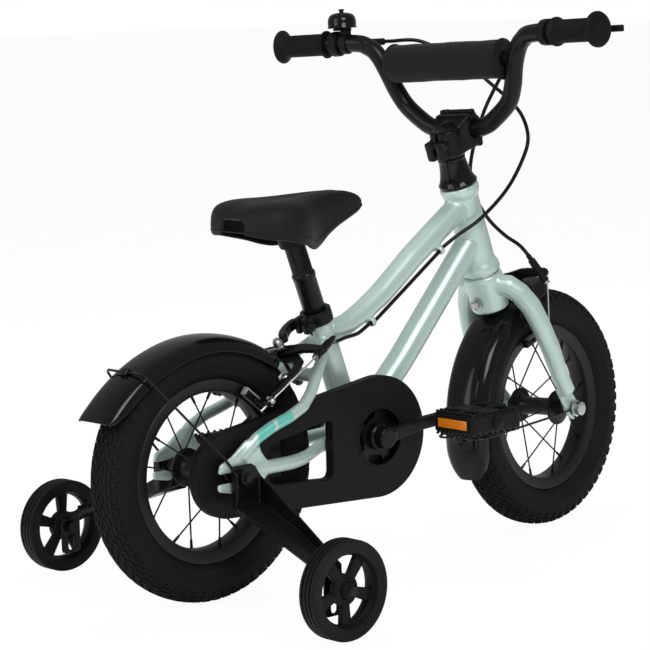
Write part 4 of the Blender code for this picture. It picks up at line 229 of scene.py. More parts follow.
# Plain finishes: hex colour or the name of one in BicycleColours, roughness, metallic, coat, grain and its
# depth in millimetres, blotches in millimetres and their spread, and how far the roughness drifts
PLAIN = {
    # Enamelled steel: satin, with faint orange peel
    "satin_black_enamel": ("black", 0.36, 0.0, 0.10, 3.0, 0.05, 40.0, 0.25, 0.06),
    # Injection-moulded polypropylene with a shiny skin
    "gloss_black_moulding": ("060607", 0.14, 0.0, 0.25, 6.0, 0.04, 50.0, 0.25, 0.04),
    # Moulded polypropylene with the mould's spark-eroded texture: matte, with fine pits
    "matte_black_moulding": ("0D0D0E", 0.50, 0.0, 0.0, 0.9, 0.08, 30.0, 0.30, 0.07),
    # Vulcanised tyre rubber, dusty in places
    "tyre_rubber": ("rubber", 0.72, 0.0, 0.0, 1.2, 0.12, 22.0, 0.45, 0.08),
    # Moulded thermoplastic rubber: matte, with fine grain
    "grip_rubber": ("0C0C0D", 0.62, 0.0, 0.0, 0.9, 0.10, 15.0, 0.35, 0.06),
    # Black anodised aluminium: metallic, softly shining
    "black_anodised_aluminium": ("121213", 0.38, 0.5, 0.0, 0.8, 0.02, 30.0, 0.25, 0.06),
    # Zinc-plated steel, slightly cloudy
    "zinc_plated_steel": ("B9BABB", 0.30, 1.0, 0.0, 1.2, 0.03, 12.0, 0.15, 0.08),
    # Extruded vinyl over the cable's coil: smooth, with a soft shine
    "cable_sleeve": ("0A0A0B", 0.36, 0.0, 0.1, 2.0, 0.0, 20.0, 0.20, 0.05),
    # Moulded grey rubber compound: dull, with a coarse grain
    "brake_pad_rubber": ("8B8A82", 0.70, 0.0, 0.0, 1.0, 0.10, 10.0, 0.20, 0.06),
}
# Finishes that mirror little of the white room
DULL = ("gloss_black_moulding", "matte_black_moulding", "tyre_rubber", "grip_rubber", "satin_black_enamel",
        "cable_sleeve")
# Which finish each node of the solids wears where it shows as it is
WORN = {
    "satin_black_enamel": ("chainring", "rear_sprocket", "rear_axle", "stabiliser_axle_right",
                           "stabiliser_axle_left"),
    "matte_black_moulding": ("bottom_bracket",),
    "zinc_plated_steel": ("front_axle", "rear_brake_bolt", "front_brake_bolt", "crank_spindle",
                          "head_bearing_upper", "head_bearing_lower", "chain"),
    "black_anodised_aluminium": ("rear_mudguard_stay", "front_mudguard_stay"),
}
# Nodes that get a rounded copy, by finish: each with its grid in millimetres and its rounds of smoothing
ROUNDED = (
    ("mint_metallic_paint", (("frame", 1.6, 26), ("fork", 1.4, 26))),
    ("satin_black_enamel", (("stem", 1.0, 42), ("stem_faceplate", 0.9, 26), ("seat_clamp", 0.8, 12),
                            ("seat_clamp_lever", 0.7, 6), ("rear_brake_arm_a", 0.8, 12),
                            ("rear_brake_arm_b", 0.8, 12), ("front_brake_arm_a", 0.8, 12),
                            ("front_brake_arm_b", 0.8, 12), ("brake_lever_right", 0.8, 6),
                            ("brake_lever_left", 0.8, 6))),
    ("matte_black_moulding", (("lever_perch_right", 0.8, 6), ("lever_perch_left", 0.8, 6),
                              ("bell_base", 0.7, 9), ("bell_hammer", 0.5, 4))),
    ("satin_black_enamel", (("crank_right", 0.9, 16), ("crank_left", 0.9, 16))),
    ("matte_black_moulding", (("pedal_right", 1.0, 4), ("pedal_left", 1.0, 4), ("saddle_base", 1.3, 4))),
    ("satin_black_enamel", (("stabiliser_bracket_right", 1.0, 8), ("stabiliser_bracket_left", 1.0, 8))),
)


def linear(hexadecimal):
    """Linear colour of an sRGB hex value."""
    parts = [int(hexadecimal[i:i + 2], 16) / 255.0 for i in (0, 2, 4)]
    return [p / 12.92 if p <= 0.04045 else ((p + 0.055) / 1.055) ** 2.4 for p in parts] + [1.0]


def feed(node, inputs):
    """Gives each input of a node its value, or links it to a socket."""
    for key, given in inputs.items():
        if isinstance(given, bpy.types.NodeSocket):
            node.id_data.links.new(given, node.inputs[key])
        else:
            node.inputs[key].default_value = given


def add(tree, kind, inputs=None, **settings):
    """One node with its settings and its inputs."""
    made = tree.nodes.new(kind)
    for key, value in settings.items():
        setattr(made, key, value)
    feed(made, inputs or {})
    return made


def per_metre(millimetres):
    """A texture scale whose cells are this many millimetres across."""
    return 1000.0 / millimetres


def new_surface(name, colour, roughness, metallic=0.0, coat=0.0):
    """Makes a material, and returns its nodes, its shader and its Object coordinates."""
    made = bpy.data.materials.new(name)
    made.use_nodes = True
    MATERIALS[name] = made
    shader = made.node_tree.nodes["Principled BSDF"]
    feed(shader, {"Base Color": linear(colour), "Roughness": roughness, "Metallic": metallic,
                  "Coat Weight": coat})
    return made.node_tree, shader, add(made.node_tree, "ShaderNodeTexCoord").outputs["Object"]


def paint_material(colours):
    """Metallic paint on aluminium: flakes under a clear coat, drawn 0.9 mm apart so that they show."""
    tree, shader, place = new_surface("mint_metallic_paint", colours.paint, 0.36, 0.35, 0.30)
    flake = add(tree, "ShaderNodeTexVoronoi", {"Scale": per_metre(0.9), "Vector": place})
    drift = add(tree, "ShaderNodeTexNoise", {"Scale": per_metre(60.0), "Detail": 2.0, "Vector": place})
    base = linear(colours.paint)[:3]
    bright = [min(1.0, c * 1.12) for c in base] + [1.0]
    dim = [c * 0.90 for c in base] + [1.0]
    cloud = add(tree, "ShaderNodeMix", {0: drift.outputs["Fac"], 6: dim, 7: bright}, data_type="RGBA")
    sparkle = add(tree, "ShaderNodeMix", {0: 0.10, 6: cloud.outputs[2], 7: flake.outputs["Color"]},
                  data_type="RGBA", blend_type="SOFT_LIGHT")
    # Plain bars on the outside of each seat stay
    parts = add(tree, "ShaderNodeSeparateXYZ", {"Vector": place})
    ahead, height = parts.outputs["X"], parts.outputs["Z"]
    wave = add(tree, "ShaderNodeMath", {0: ahead, 1: BAR_SPACING}, operation="MODULO")
    across = add(tree, "ShaderNodeMath", {0: parts.outputs["Y"]}, operation="ABSOLUTE")
    mask = add(tree, "ShaderNodeMath", {0: wave.outputs["Value"], 1: BAR_LENGTH}, operation="LESS_THAN")
    for value, test, limit in ((ahead, "GREATER_THAN", BAR_SPACING), (ahead, "LESS_THAN", BARS_END),
                               (across.outputs["Value"], "GREATER_THAN", BARS_OUTSIDE),
                               (height, "GREATER_THAN", BARS_ABOVE)):
        other = add(tree, "ShaderNodeMath", {0: value, 1: limit}, operation=test)
        mask = add(tree, "ShaderNodeMath", {0: mask.outputs["Value"], 1: other.outputs["Value"]},
                   operation="MULTIPLY")
    striped = add(tree, "ShaderNodeMix", {0: mask.outputs["Value"], 6: sparkle.outputs[2],
                                          7: linear(colours.stripe)}, data_type="RGBA")
    # Above the head tube only the steerer's end shows, which is black
    steerer = add(tree, "ShaderNodeMath", {0: height, 1: STEERER_ABOVE}, operation="GREATER_THAN")
    ended = add(tree, "ShaderNodeMix", {0: steerer.outputs["Value"], 6: striped.outputs[2],
                                        7: linear("0C0C0D")}, data_type="RGBA")
    peel = add(tree, "ShaderNodeTexNoise", {"Scale": per_metre(2.5), "Detail": 1.0, "Vector": place})
    bump = add(tree, "ShaderNodeBump", {"Strength": 0.12, "Distance": 0.0002, "Height": peel.outputs["Fac"]})
    feed(shader, {"Base Color": ended.outputs[2], "Normal": bump.outputs["Normal"], "Coat Roughness": 0.22})


def vinyl_material():
    """Grained vinyl: irregular cells 1.4 mm wide, pressed into a soft matte skin."""
    tree, shader, place = new_surface("grained_vinyl", "0F0F11", 0.52)
    cells = add(tree, "ShaderNodeTexVoronoi", {"Scale": per_metre(1.4), "Vector": place},
                feature="DISTANCE_TO_EDGE")
    edge = add(tree, "ShaderNodeMapRange", {"From Max": 0.12, "Value": cells.outputs["Distance"]})
    bump = add(tree, "ShaderNodeBump", {"Strength": 0.35, "Distance": 0.0004,
                                        "Height": edge.outputs["Result"]})
    blotch = add(tree, "ShaderNodeTexNoise", {"Scale": per_metre(25.0), "Detail": 3.0, "Vector": place})
    mixed = add(tree, "ShaderNodeMix", {0: blotch.outputs["Fac"], 6: linear("0D0D0F"), 7: linear("141416")},
                data_type="RGBA")
    drift = add(tree, "ShaderNodeMapRange", {"To Min": 0.44, "To Max": 0.58, "Value": blotch.outputs["Fac"]})
    feed(shader, {"Base Color": mixed.outputs[2], "Normal": bump.outputs["Normal"],
                  "Roughness": drift.outputs["Result"], "Specular IOR Level": 0.20})


def nylon_material():
    """Woven nylon over foam: crossing threads, drawn 3 mm apart so that they show."""
    tree, shader, place = new_surface("woven_nylon", "0B0B0C", 0.78)
    # A wave texture draws 3.2 bands in each of its cells
    warp, weft = [add(tree, "ShaderNodeTexWave",
                      {"Scale": per_metre(10.0), "Distortion": 0.6, "Vector": place}, bands_direction=way)
                  for way in "YZ"]
    cloth = add(tree, "ShaderNodeMath", {0: warp.outputs["Fac"], 1: weft.outputs["Fac"]},
                operation="MULTIPLY")
    bump = add(tree, "ShaderNodeBump", {"Strength": 0.35, "Distance": 0.0004,
                                        "Height": cloth.outputs["Value"]})
    mixed = add(tree, "ShaderNodeMix", {0: cloth.outputs["Value"], 6: linear("070708"), 7: linear("101012")},
                data_type="RGBA")
    feed(shader, {"Base Color": mixed.outputs[2], "Normal": bump.outputs["Normal"],
                  "Specular IOR Level": 0.25, "Sheen Weight": 0.05})


def reflector_material(colours):
    """Moulded acrylic: a grid of small prisms 2.4 mm apart behind a clear face, with painted highlights and
    shade across the prisms and a faint painted glow.
    """
    tree, shader, place = new_surface("amber_acrylic_painted_glow_and_glints", colours.amber, 0.16, 0.0, 0.6)
    prisms = add(tree, "ShaderNodeTexVoronoi", {"Scale": per_metre(2.4), "Randomness": 0.0, "Vector": place},
                 distance="MANHATTAN")
    # Painted highlights and shade: each prism is bright amber in its middle and dark amber at its edges
    mixed = add(tree, "ShaderNodeMix", {0: prisms.outputs["Distance"], 6: linear("FFB43C"),
                                        7: linear("B85A04")}, data_type="RGBA")
    bump = add(tree, "ShaderNodeBump", {"Strength": 0.5, "Distance": 0.0005,
                                        "Height": prisms.outputs["Distance"]})
    # The emission is a painted glow, for the light that the reflector only sends back
    feed(shader, {"Base Color": mixed.outputs[2], "Normal": bump.outputs["Normal"],
                  "Emission Color": linear(colours.amber), "Emission Strength": 0.12})


def plain_material(name, colour, roughness, metallic, coat, grain_mm, depth_mm, mottle_mm, spread, drift):
    """Fine relief, blotches of slightly lighter colour, and roughness that drifts over the surface."""
    tree, shader, place = new_surface(name, colour, roughness, metallic, coat)
    if name in DULL:
        feed(shader, {"Specular IOR Level": 0.14})
    grain = add(tree, "ShaderNodeTexNoise", {"Scale": per_metre(grain_mm), "Detail": 2.0, "Vector": place})
    bump = add(tree, "ShaderNodeBump", {"Strength": 0.6, "Distance": depth_mm / 1000.0,
                                        "Height": grain.outputs["Fac"]})
    blotch = add(tree, "ShaderNodeTexNoise", {"Scale": per_metre(mottle_mm), "Detail": 3.0, "Vector": place})
    base = linear(colour)[:3]
    lighter = [min(1.0, c * (1.0 + spread) + 0.002) for c in base] + [1.0]
    darker = [c * (1.0 - spread * 0.5) for c in base] + [1.0]
    mixed = add(tree, "ShaderNodeMix", {0: blotch.outputs["Fac"], 6: darker, 7: lighter}, data_type="RGBA")
    rough = add(tree, "ShaderNodeMapRange", {"To Min": roughness - drift, "To Max": roughness + drift,
                                             "Value": blotch.outputs["Fac"]})
    feed(shader, {"Base Color": mixed.outputs[2], "Normal": bump.outputs["Normal"],
                  "Roughness": rough.outputs["Result"]})


def make_materials(colours):
    paint_material(colours)
    vinyl_material()
    nylon_material()
    reflector_material(colours)
    for name, (colour, *rest) in PLAIN.items():
        plain_material(name, getattr(colours, colour, colour), *rest)


def mode(name):
    bpy.ops.object.mode_set(mode=name)


def only(obj):
    """Makes this the one selected and active object."""
    bpy.ops.object.select_all(action="DESELECT")
    obj.select_set(True)
    bpy.context.view_layer.objects.active = obj


def face_outwards():
    """In edit mode, turns every face of the mesh to point outwards."""
    bpy.ops.mesh.select_all(action="SELECT")
    bpy.ops.mesh.normals_make_consistent(inside=False)


def along(start, heading):
    """A place whose Y runs along a heading."""
    return Matrix.Translation(start) @ SIDEWAYS.rotation_difference(Vector(heading)).to_matrix().to_4x4()


def facing(spot, first, third):
    """A place whose X and Z run along two headings, with Y sideways."""
    return Matrix.Translation(spot) @ Matrix((first, SIDEWAYS, third)).transposed().to_4x4()


def between(stations, share):
    """A place at a share of the run of some stations, on a smooth cubic curve through them."""
    t = share * (len(stations) - 1)
    i = min(int(t), len(stations) - 2)
    f = t - i
    a = stations[max(i - 1, 0)]
    b, c = stations[i], stations[i + 1]
    d = stations[min(i + 2, len(stations) - 1)]
    return [0.5 * (2 * q + (r - p) * f + (2 * p - 5 * q + 4 * r - s) * f * f
                   + (3 * q - p - 3 * r + s) * f ** 3) for p, q, r, s in zip(a, b, c, d)]


def smooth_path(points, parts):
    """Points in metres along a smooth line through the given ones, which are in millimetres."""
    steps = (len(points) - 1) * parts
    return [Vector(between(points, i / steps)) / 1000.0 for i in range(steps + 1)]


def around_axis(axis, count):
    """Unit vectors all round an axis."""
    first = Vector(axis).orthogonal().normalized()
    second = Vector(axis).cross(first).normalized()
    return [first * math.cos(angle) + second * math.sin(angle)
            for angle in [math.tau * i / count for i in range(count)]]


def mirrored(profile):
    """A profile and its mirror image after it."""
    return profile + [(radius, -place) for radius, place in reversed(profile)]


def spun(profile, steps):
    """Spins a profile of (radius, place) in millimetres about Y; one that ends on the axis stays open."""
    bpy.ops.object.select_all(action="DESELECT")
    bpy.ops.mesh.primitive_circle_add(vertices=len(profile), radius=1.0)
    obj = bpy.context.object
    for vertex, (radius, place) in zip(obj.data.vertices, profile):
        vertex.co = (radius / 1000.0, place / 1000.0, 0.0)
    if profile[-1][0] == 0.0:
        ends = {0, len(profile) - 1}
        for edge in obj.data.edges:
            edge.select = set(edge.vertices) == ends
        for vertex in obj.data.vertices:
            vertex.select = vertex.index in ends
        mode("EDIT")
        bpy.ops.mesh.select_mode(type="EDGE")
        bpy.ops.mesh.delete(type="EDGE")
        mode("OBJECT")
    mode("EDIT")
    bpy.ops.mesh.select_mode(type="VERT")
    bpy.ops.mesh.select_all(action="SELECT")
    bpy.ops.mesh.spin(steps=steps, angle=math.tau, center=(0.0, 0.0, 0.0), axis=(0.0, 1.0, 0.0))
    bpy.ops.mesh.select_all(action="SELECT")
    bpy.ops.mesh.remove_doubles(threshold=0.000005)
    face_outwards()
    mode("OBJECT")
    return obj


def boxed(size_mm, place, bevel_mm=0.6, segments=2):
    """A bevelled block in millimetres, at a place given as a matrix or a point."""
    bpy.ops.object.select_all(action="DESELECT")
    bpy.ops.mesh.primitive_cube_add(size=1.0)
    obj = bpy.context.object
    obj.data.transform(Matrix.Diagonal([s / 1000.0 for s in size_mm] + [1.0]))
    mode("EDIT")
    bpy.ops.mesh.select_all(action="SELECT")
    bpy.ops.mesh.bevel(offset=bevel_mm / 1000.0, segments=segments, affect="EDGES")
    mode("OBJECT")
    obj.data.transform(place if isinstance(place, Matrix) else Matrix.Translation(place))
    return obj


def sheet(rows, columns, place_of):
    """A grid whose points go where place_of puts each share of its length and width."""
    bpy.ops.object.select_all(action="DESELECT")
    bpy.ops.mesh.primitive_grid_add(x_subdivisions=rows - 1, y_subdivisions=columns - 1, size=2.0)
    obj = bpy.context.object
    for vertex in obj.data.vertices:
        vertex.co = place_of((vertex.co.x + 1.0) / 2.0, (vertex.co.y + 1.0) / 2.0)
    return obj


def meshed(curve):
    """An object made of a curve and turned into a mesh."""
    obj = bpy.data.objects.new(curve.name, curve)
    bpy.context.scene.collection.objects.link(obj)
    only(obj)
    bpy.ops.object.convert(target="MESH")
    return bpy.context.object


def pipe(points, radius_mm, radii=None, closed=False, sides=4):
    """A round wire or bead along points in metres, made a mesh."""
    curve = bpy.data.curves.new("pipe", "CURVE")
    curve.dimensions = "3D"
    curve.bevel_depth = radius_mm / 1000.0
    curve.bevel_resolution = sides
    curve.use_fill_caps = not closed
    spline = curve.splines.new("POLY")
    spline.points.add(len(points) - 1)
    for i, (spot, point) in enumerate(zip(spline.points, points)):
        spot.co = (*point, 1.0)
        spot.radius = radii[i] if radii else 1.0
    spline.use_cyclic_u = closed
    return meshed(curve)


def flat_shape(outlines, depth_mm, bevel_mm, sideways_mm):
    """A plate in the XZ plane with rounded edges, from outlines in millimetres; later ones are holes."""
    curve = bpy.data.curves.new("plate", "CURVE")
    curve.dimensions = "2D"
    curve.fill_mode = "BOTH"
    curve.extrude = depth_mm / 2000.0 - bevel_mm / 1000.0
    curve.bevel_depth = bevel_mm / 1000.0
    curve.bevel_resolution = 3
    curve.offset = -bevel_mm / 1000.0
    for outline in outlines:
        spline = curve.splines.new("POLY")
        spline.points.add(len(outline) - 1)
        for spot, point in zip(spline.points, outline):
            spot.co = (point[0] / 1000.0, point[1] / 1000.0, 0.0, 1.0)
        spline.use_cyclic_u = True
    obj = meshed(curve)
    obj.data.transform(Matrix.Translation((0.0, sideways_mm / 1000.0, 0.0))
                       @ Matrix.Rotation(math.pi / 2.0, 4, "X"))
    return obj


def united(objects):
    """Joins objects into the first of them."""
    only(objects[0])
    for obj in objects[1:]:
        obj.select_set(True)
    bpy.ops.object.join()
    return objects[0]


def copied(source):
    """An object with its own copy of another's mesh."""
    twin = bpy.data.objects.new("copy", source.data.copy())
    bpy.context.scene.collection.objects.link(twin)
    return twin


def finished(obj, kind, name, **settings):
    """Adds a modifier and applies it."""
    only(obj)
    made = obj.modifiers.new(name, kind)
    for key, value in settings.items():
        setattr(made, key, value)
    bpy.ops.object.modifier_apply(modifier=made.name)


def dressed(obj, name, finish, body, nodes=(), matrix=None, smooth=35.0):
    """Names a finished piece, moves it to its place, and gives it its finish and body."""
    if matrix is not None:
        obj.data.transform(matrix)
    obj.name = name
    obj.data.name = name
    obj.data.materials.clear()
    obj.data.materials.append(MATERIALS[finish])
    only(obj)
    bpy.ops.object.shade_smooth_by_angle(angle=math.radians(smooth))
    if body:
        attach(obj, body)
    if nodes:
        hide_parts(*nodes)
    return obj


class BIKE_OT_stage(bpy.types.Operator):
    """Sets up the floor, the lamps, the world and the camera"""
    bl_idname = "bike.stage"
    bl_label = "Stage"

    def execute(self, context):
        scene = context.scene
        scene.view_settings.view_transform = "Standard"
        bpy.ops.object.select_all(action="DESELECT")
        bpy.ops.mesh.primitive_plane_add(size=60.0, location=(0.3, 0.0, -0.0012))
        floor = context.object
        floor.name = "studio_floor"
        plain = bpy.data.materials.new("studio_floor")
        plain.use_nodes = True
        tree = plain.node_tree
        tree.nodes.clear()
        # The camera sees a plain pale floor, and the light meets a matte one
        matte = add(tree, "ShaderNodeBsdfDiffuse", {"Color": (0.88, 0.88, 0.88, 1.0)})
        white = add(tree, "ShaderNodeEmission", {"Color": WHITE, "Strength": 1.0})
        path = add(tree, "ShaderNodeLightPath")
        seen = add(tree, "ShaderNodeMath", {0: path.outputs["Is Camera Ray"], 1: 0.955}, operation="MULTIPLY")
        mix = add(tree, "ShaderNodeMixShader",
                  {0: seen.outputs["Value"], 1: matte.outputs["BSDF"], 2: white.outputs["Emission"]})
        add(tree, "ShaderNodeOutputMaterial", {"Surface": mix.outputs["Shader"]})
        floor.data.materials.append(plain)

        # The world is white to the camera and dimmer to the bicycle
        scene.world = bpy.data.worlds.new("studio")
        scene.world.use_nodes = True
        tree = scene.world.node_tree
        tree.nodes.clear()
        path = add(tree, "ShaderNodeLightPath")
        direct = add(tree, "ShaderNodeMath",
                     {0: path.outputs["Is Camera Ray"], 1: path.outputs["Is Transmission Ray"]},
                     operation="MAXIMUM")
        strength = add(tree, "ShaderNodeMapRange",
                       {"To Min": 0.36, "To Max": 1.0, "Value": direct.outputs["Value"]})
        light = add(tree, "ShaderNodeBackground", {"Color": WHITE, "Strength": strength.outputs["Result"]})
        add(tree, "ShaderNodeOutputWorld", {"Surface": light.outputs["Background"]})
        for name, (spot, size, power) in LAMPS.items():
            lamp = bpy.data.lights.new(name, "AREA")
            lamp.size = size
            lamp.energy = power
            held = bpy.data.objects.new(name, lamp)
            held.location = spot
            held.visible_glossy = name in MIRRORED_LAMPS
            held.rotation_euler = (LAMP_TARGET - Vector(spot)).to_track_quat("-Z", "Y").to_euler()
            scene.collection.objects.link(held)

        level = math.cos(CAMERA_PITCH)
        ahead = Vector((math.cos(CAMERA_YAW) * level, math.sin(CAMERA_YAW) * level, math.sin(CAMERA_PITCH)))
        right = ahead.cross(Vector((0.0, 0.0, 1.0))).normalized()
        down = ahead.cross(right)
        across = right * math.cos(CAMERA_ROLL) + down * math.sin(CAMERA_ROLL)
        below = down * math.cos(CAMERA_ROLL) - right * math.sin(CAMERA_ROLL)
        lens = bpy.data.cameras.new("photo_camera")
        camera = bpy.data.objects.new("photo_camera", lens)
        scene.collection.objects.link(camera)
        turn = Matrix((across, -below, -ahead)).transposed().to_4x4()
        camera.matrix_world = Matrix.Translation(CAMERA_PLACE) @ turn
        lens.sensor_width = SENSOR
        lens.sensor_fit = "HORIZONTAL"
        lens.lens = FOCAL_PIXELS * SENSOR / PICTURE
        lens.shift_x = (PICTURE / 2.0 - OPTICAL_CENTRE[0]) / PICTURE
        lens.shift_y = (OPTICAL_CENTRE[1] - PICTURE / 2.0) / PICTURE
        lens.clip_end = 50.0
        scene.camera = camera
        return {"FINISHED"}


class BIKE_OT_finishes(bpy.types.Operator):
    """Gives each node that shows as it is its finish"""
    bl_idname = "bike.finishes"
    bl_label = "Finishes"

    def execute(self, context):
        for finish, nodes in WORN.items():
            for node in nodes:
                obj = frame["nodes"][node]
                if not obj.material_slots:
                    obj.data.materials.append(MATERIALS[finish])
                for held in obj.material_slots:
                    held.material = MATERIALS[finish]
        return {"FINISHED"}


class BIKE_OT_rounded(bpy.types.Operator):
    """Makes a copy of each cast, forged or welded solid with its facets and edges rounded off"""
    bl_idname = "bike.rounded"
    bl_label = "Rounded castings and tubes"

    def execute(self, context):
        for finish, rows in ROUNDED:
            for node, grid, rounds in rows:
                source = frame["nodes"][node]
                piece = copied(source)
                only(piece)
                mode("EDIT")
                bpy.ops.mesh.select_all(action="SELECT")
                bpy.ops.mesh.remove_doubles(threshold=0.00001)
                mode("OBJECT")
                finished(piece, "REMESH", "grid", mode="VOXEL", voxel_size=grid / 1000.0)
                finished(piece, "SMOOTH", "soften", factor=0.5, iterations=rounds)
                # Smoothing thins a tube a little, so its skin is moved out again
                finished(piece, "DISPLACE", "regain", strength=grid * rounds * 0.000010, mid_level=0.0)
                dressed(piece, node + "_finished", finish, source["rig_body"], (node,), smooth=50.0)
        return {"FINISHED"}


class BIKE_OT_tyres(bpy.types.Operator):
    """Models both tyres with their tread blocks and sidewall rings"""
    bl_idname = "bike.tyres"
    bl_label = "Tyres"

    def execute(self, context):
        sizes = context.scene.bicycle_sizes
        top = (sizes.tyre_radius - sizes.block_height) * 1000.0
        side = [(107.0, 11.4), (108.4, 14.6), (110.2, 16.9), (112.2, 18.4), (113.0, 19.8), (114.6, 20.4),
                (119.0, 23.1), (124.0, 24.6), (124.8, 25.3), (126.4, 25.4), (127.2, 24.9), (132.0, 25.0),
                (136.2, 24.5), (138.0, 24.0), (142.6, 21.7), (143.8, 20.8), (146.6, 17.8), (147.4, 16.8),
                (149.2, 13.2), (149.7, 12.2), (top - 0.7, 8.6), (top - 0.5, 7.6), (top - 0.1, 4.4),
                (top, 3.4), (top, 0.6)]
        hollow = [(113.0, -12.0), (128.0, -19.0), (141.5, -13.0), (146.0, 0.0), (141.5, 13.0), (128.0, 19.0),
                  (113.0, 12.0)]
        # Rows of tread blocks: from and to across the tyre in millimetres, how many of three steps stand out,
        # and how many steps the row is shifted by
        rows = ((0.6, 3.4, 2, 0), (4.4, 7.6, 2, 1), (8.6, 12.2, 2, 2), (13.2, 16.8, 2, 0), (17.8, 20.8, 2, 1),
                (21.7, 24.0, 1, 1))
        tread_starts = 0.1390
        step = math.tau / sizes.tread_steps
        tyre = spun(mirrored(side) + hollow, sizes.tread_steps)
        mode("EDIT")
        bpy.ops.mesh.select_mode(type="FACE")
        bpy.ops.mesh.select_all(action="DESELECT")
        mode("OBJECT")
        for face in tyre.data.polygons:
            x, y, z = face.center
            outside = math.hypot(x, z) >= tread_starts and face.normal.dot(Vector((x, 0.0, z))) >= 0.0
            turn = int((math.atan2(z, x) + math.pi) / step) + (0 if y > 0.0 else 1)
            face.select = outside and any(low < abs(y) * 1000.0 < high and (turn + offset) % 3 < length
                                          for low, high, length, offset in rows)
        mode("EDIT")
        bpy.ops.mesh.inset(thickness=0.0003, depth=0.0)
        bpy.ops.transform.shrink_fatten(value=sizes.block_height)
        face_outwards()
        mode("OBJECT")
        for name, body, place in WHEELS:
            dressed(copied(tyre), name + "_tyre_tread", "tyre_rubber", body, (name + "_tyre",), place, 28.0)
        bpy.data.objects.remove(tyre)
        return {"FINISHED"}


class BIKE_OT_rims(bpy.types.Operator):
    """Models the rims, hubs, spokes, nipples and valves"""
    bl_idname = "bike.rims"
    bl_label = "Rims and spokes"

    def execute(self, context):
        sizes = context.scene.bicycle_sizes
        rim = mirrored([(101.7, 8.0), (106.6, 11.0), (107.8, 12.6), (107.8, 14.4), (106.6, 15.2),
                        (104.0, 15.0), (101.0, 14.3), (96.0, 13.8), (92.6, 12.4), (91.4, 9.4), (90.6, 4.0)])
        # The spokes' ends: radius in the hub and in the rim and places across in metres, and lean in radians
        hub_radius, rim_radius, flange_place, rim_place, spoke_lean = 0.0195, 0.0912, 0.030, 0.004, 0.30
        valve_turn = Matrix.Rotation(math.radians(100.0), 4, "Y")
        valve_heights = (0.0915, 0.078, 0.0765, 0.066)
        for name, body, place in WHEELS:
            dressed(spun(rim, 96), name + "_rim_hoop", "black_anodised_aluminium", body, (name + "_rim",),
                    place)
            end = 50.0 if name == "rear" else 44.0
            hub = mirrored([(9.0, end), (9.6, end - 1.0), (10.2, 36.0), (11.0, 34.0), (20.4, 32.4),
                            (22.0, 31.5), (22.6, 30.0), (22.0, 28.5), (20.4, 27.6), (14.0, 26.6),
                            (12.6, 24.5), (11.6, 18.0), (11.2, 8.0)]) + [(5.0, -end), (5.0, end)]
            if name == "rear":
                # On its right side the rear hub ends sooner, inside the chain case
                hub = [(r, max(y, -44.5)) if y < -33.0 and r > 8.9 else (r, y) for r, y in hub]
            pieces = [spun(hub, 32)]
            for i in range(sizes.spoke_count):
                angle = math.tau * (i + 0.5) / sizes.spoke_count
                side = SIDEWAYS * (1.0 if i % 2 else -1.0)
                tilted = angle + (spoke_lean if (i // 2) % 2 else -spoke_lean)
                start = Vector((math.cos(tilted), 0.0, math.sin(tilted))) * hub_radius + side * flange_place
                stop = Vector((math.cos(angle), 0.0, math.sin(angle))) * rim_radius + side * rim_place
                pieces += [pipe([start, stop], sizes.spoke_radius * 1000.0, sides=2),
                           pipe([stop, stop.lerp(start, 0.13)], NIPPLE, [1.0, 0.8], sides=2),
                           pipe([start - side * 0.0026, start + side * 0.0028], SPOKE_HEAD, sides=2)]
            pieces.append(pipe([valve_turn @ Vector((0.0, 0.0, height)) for height in valve_heights], VALVE,
                               [1.0, 1.0, 1.25, 1.15]))
            dressed(united(pieces), name + "_hub_and_spokes", "satin_black_enamel", body, (name + "_hub",),
                    place)
        return {"FINISHED"}


def case_outline(grow):
    """The outline round the two sprockets, in millimetres from the rear axle."""
    rear, front = CASE_REAR_RADIUS + grow, CASE_FRONT_RADIUS + grow
    tilt = math.atan2(CRANK_ABOVE, CRANK_AHEAD)
    lean = math.acos((rear - front) / math.hypot(CRANK_AHEAD, CRANK_ABOVE))
    points = []
    for i in range(49):
        angle = tilt - lean + 2.0 * lean * i / 48
        points.append((CRANK_AHEAD + front * math.cos(angle), CRANK_ABOVE + front * math.sin(angle)))
    for i in range(37):
        angle = tilt + lean + (math.tau - 2.0 * lean) * i / 36
        points.append((rear * math.cos(angle), rear * math.sin(angle)))
    return points


def window_outline(grow):
    """The rounded opening between the chain's two runs."""
    rear, front = WINDOW_REAR_RADIUS + grow, WINDOW_FRONT_RADIUS + grow
    slope = (front - rear) / CRANK_AHEAD
    start, end = WINDOW_START - grow, WINDOW_END + grow
    corners = [Vector((x, x * CRANK_ABOVE / CRANK_AHEAD + side * (rear + x * slope)))
               for x, side in ((start, -1), (end, -1), (end, 1), (start, 1))]
    points = []
    for i, corner in enumerate(corners):
        before = (corners[i - 1] - corner).normalized() * WINDOW_CORNER
        after = (corners[(i + 1) % 4] - corner).normalized() * WINDOW_CORNER
        points += [corner + before * (1.0 - t) ** 2 + after * t ** 2 for t in [j / 6.0 for j in range(7)]]
    return points


def ring_outline(x, z, radius, count=40):
    return [(x + radius * math.cos(math.tau * i / count), z + radius * math.sin(math.tau * i / count))
            for i in range(count)]


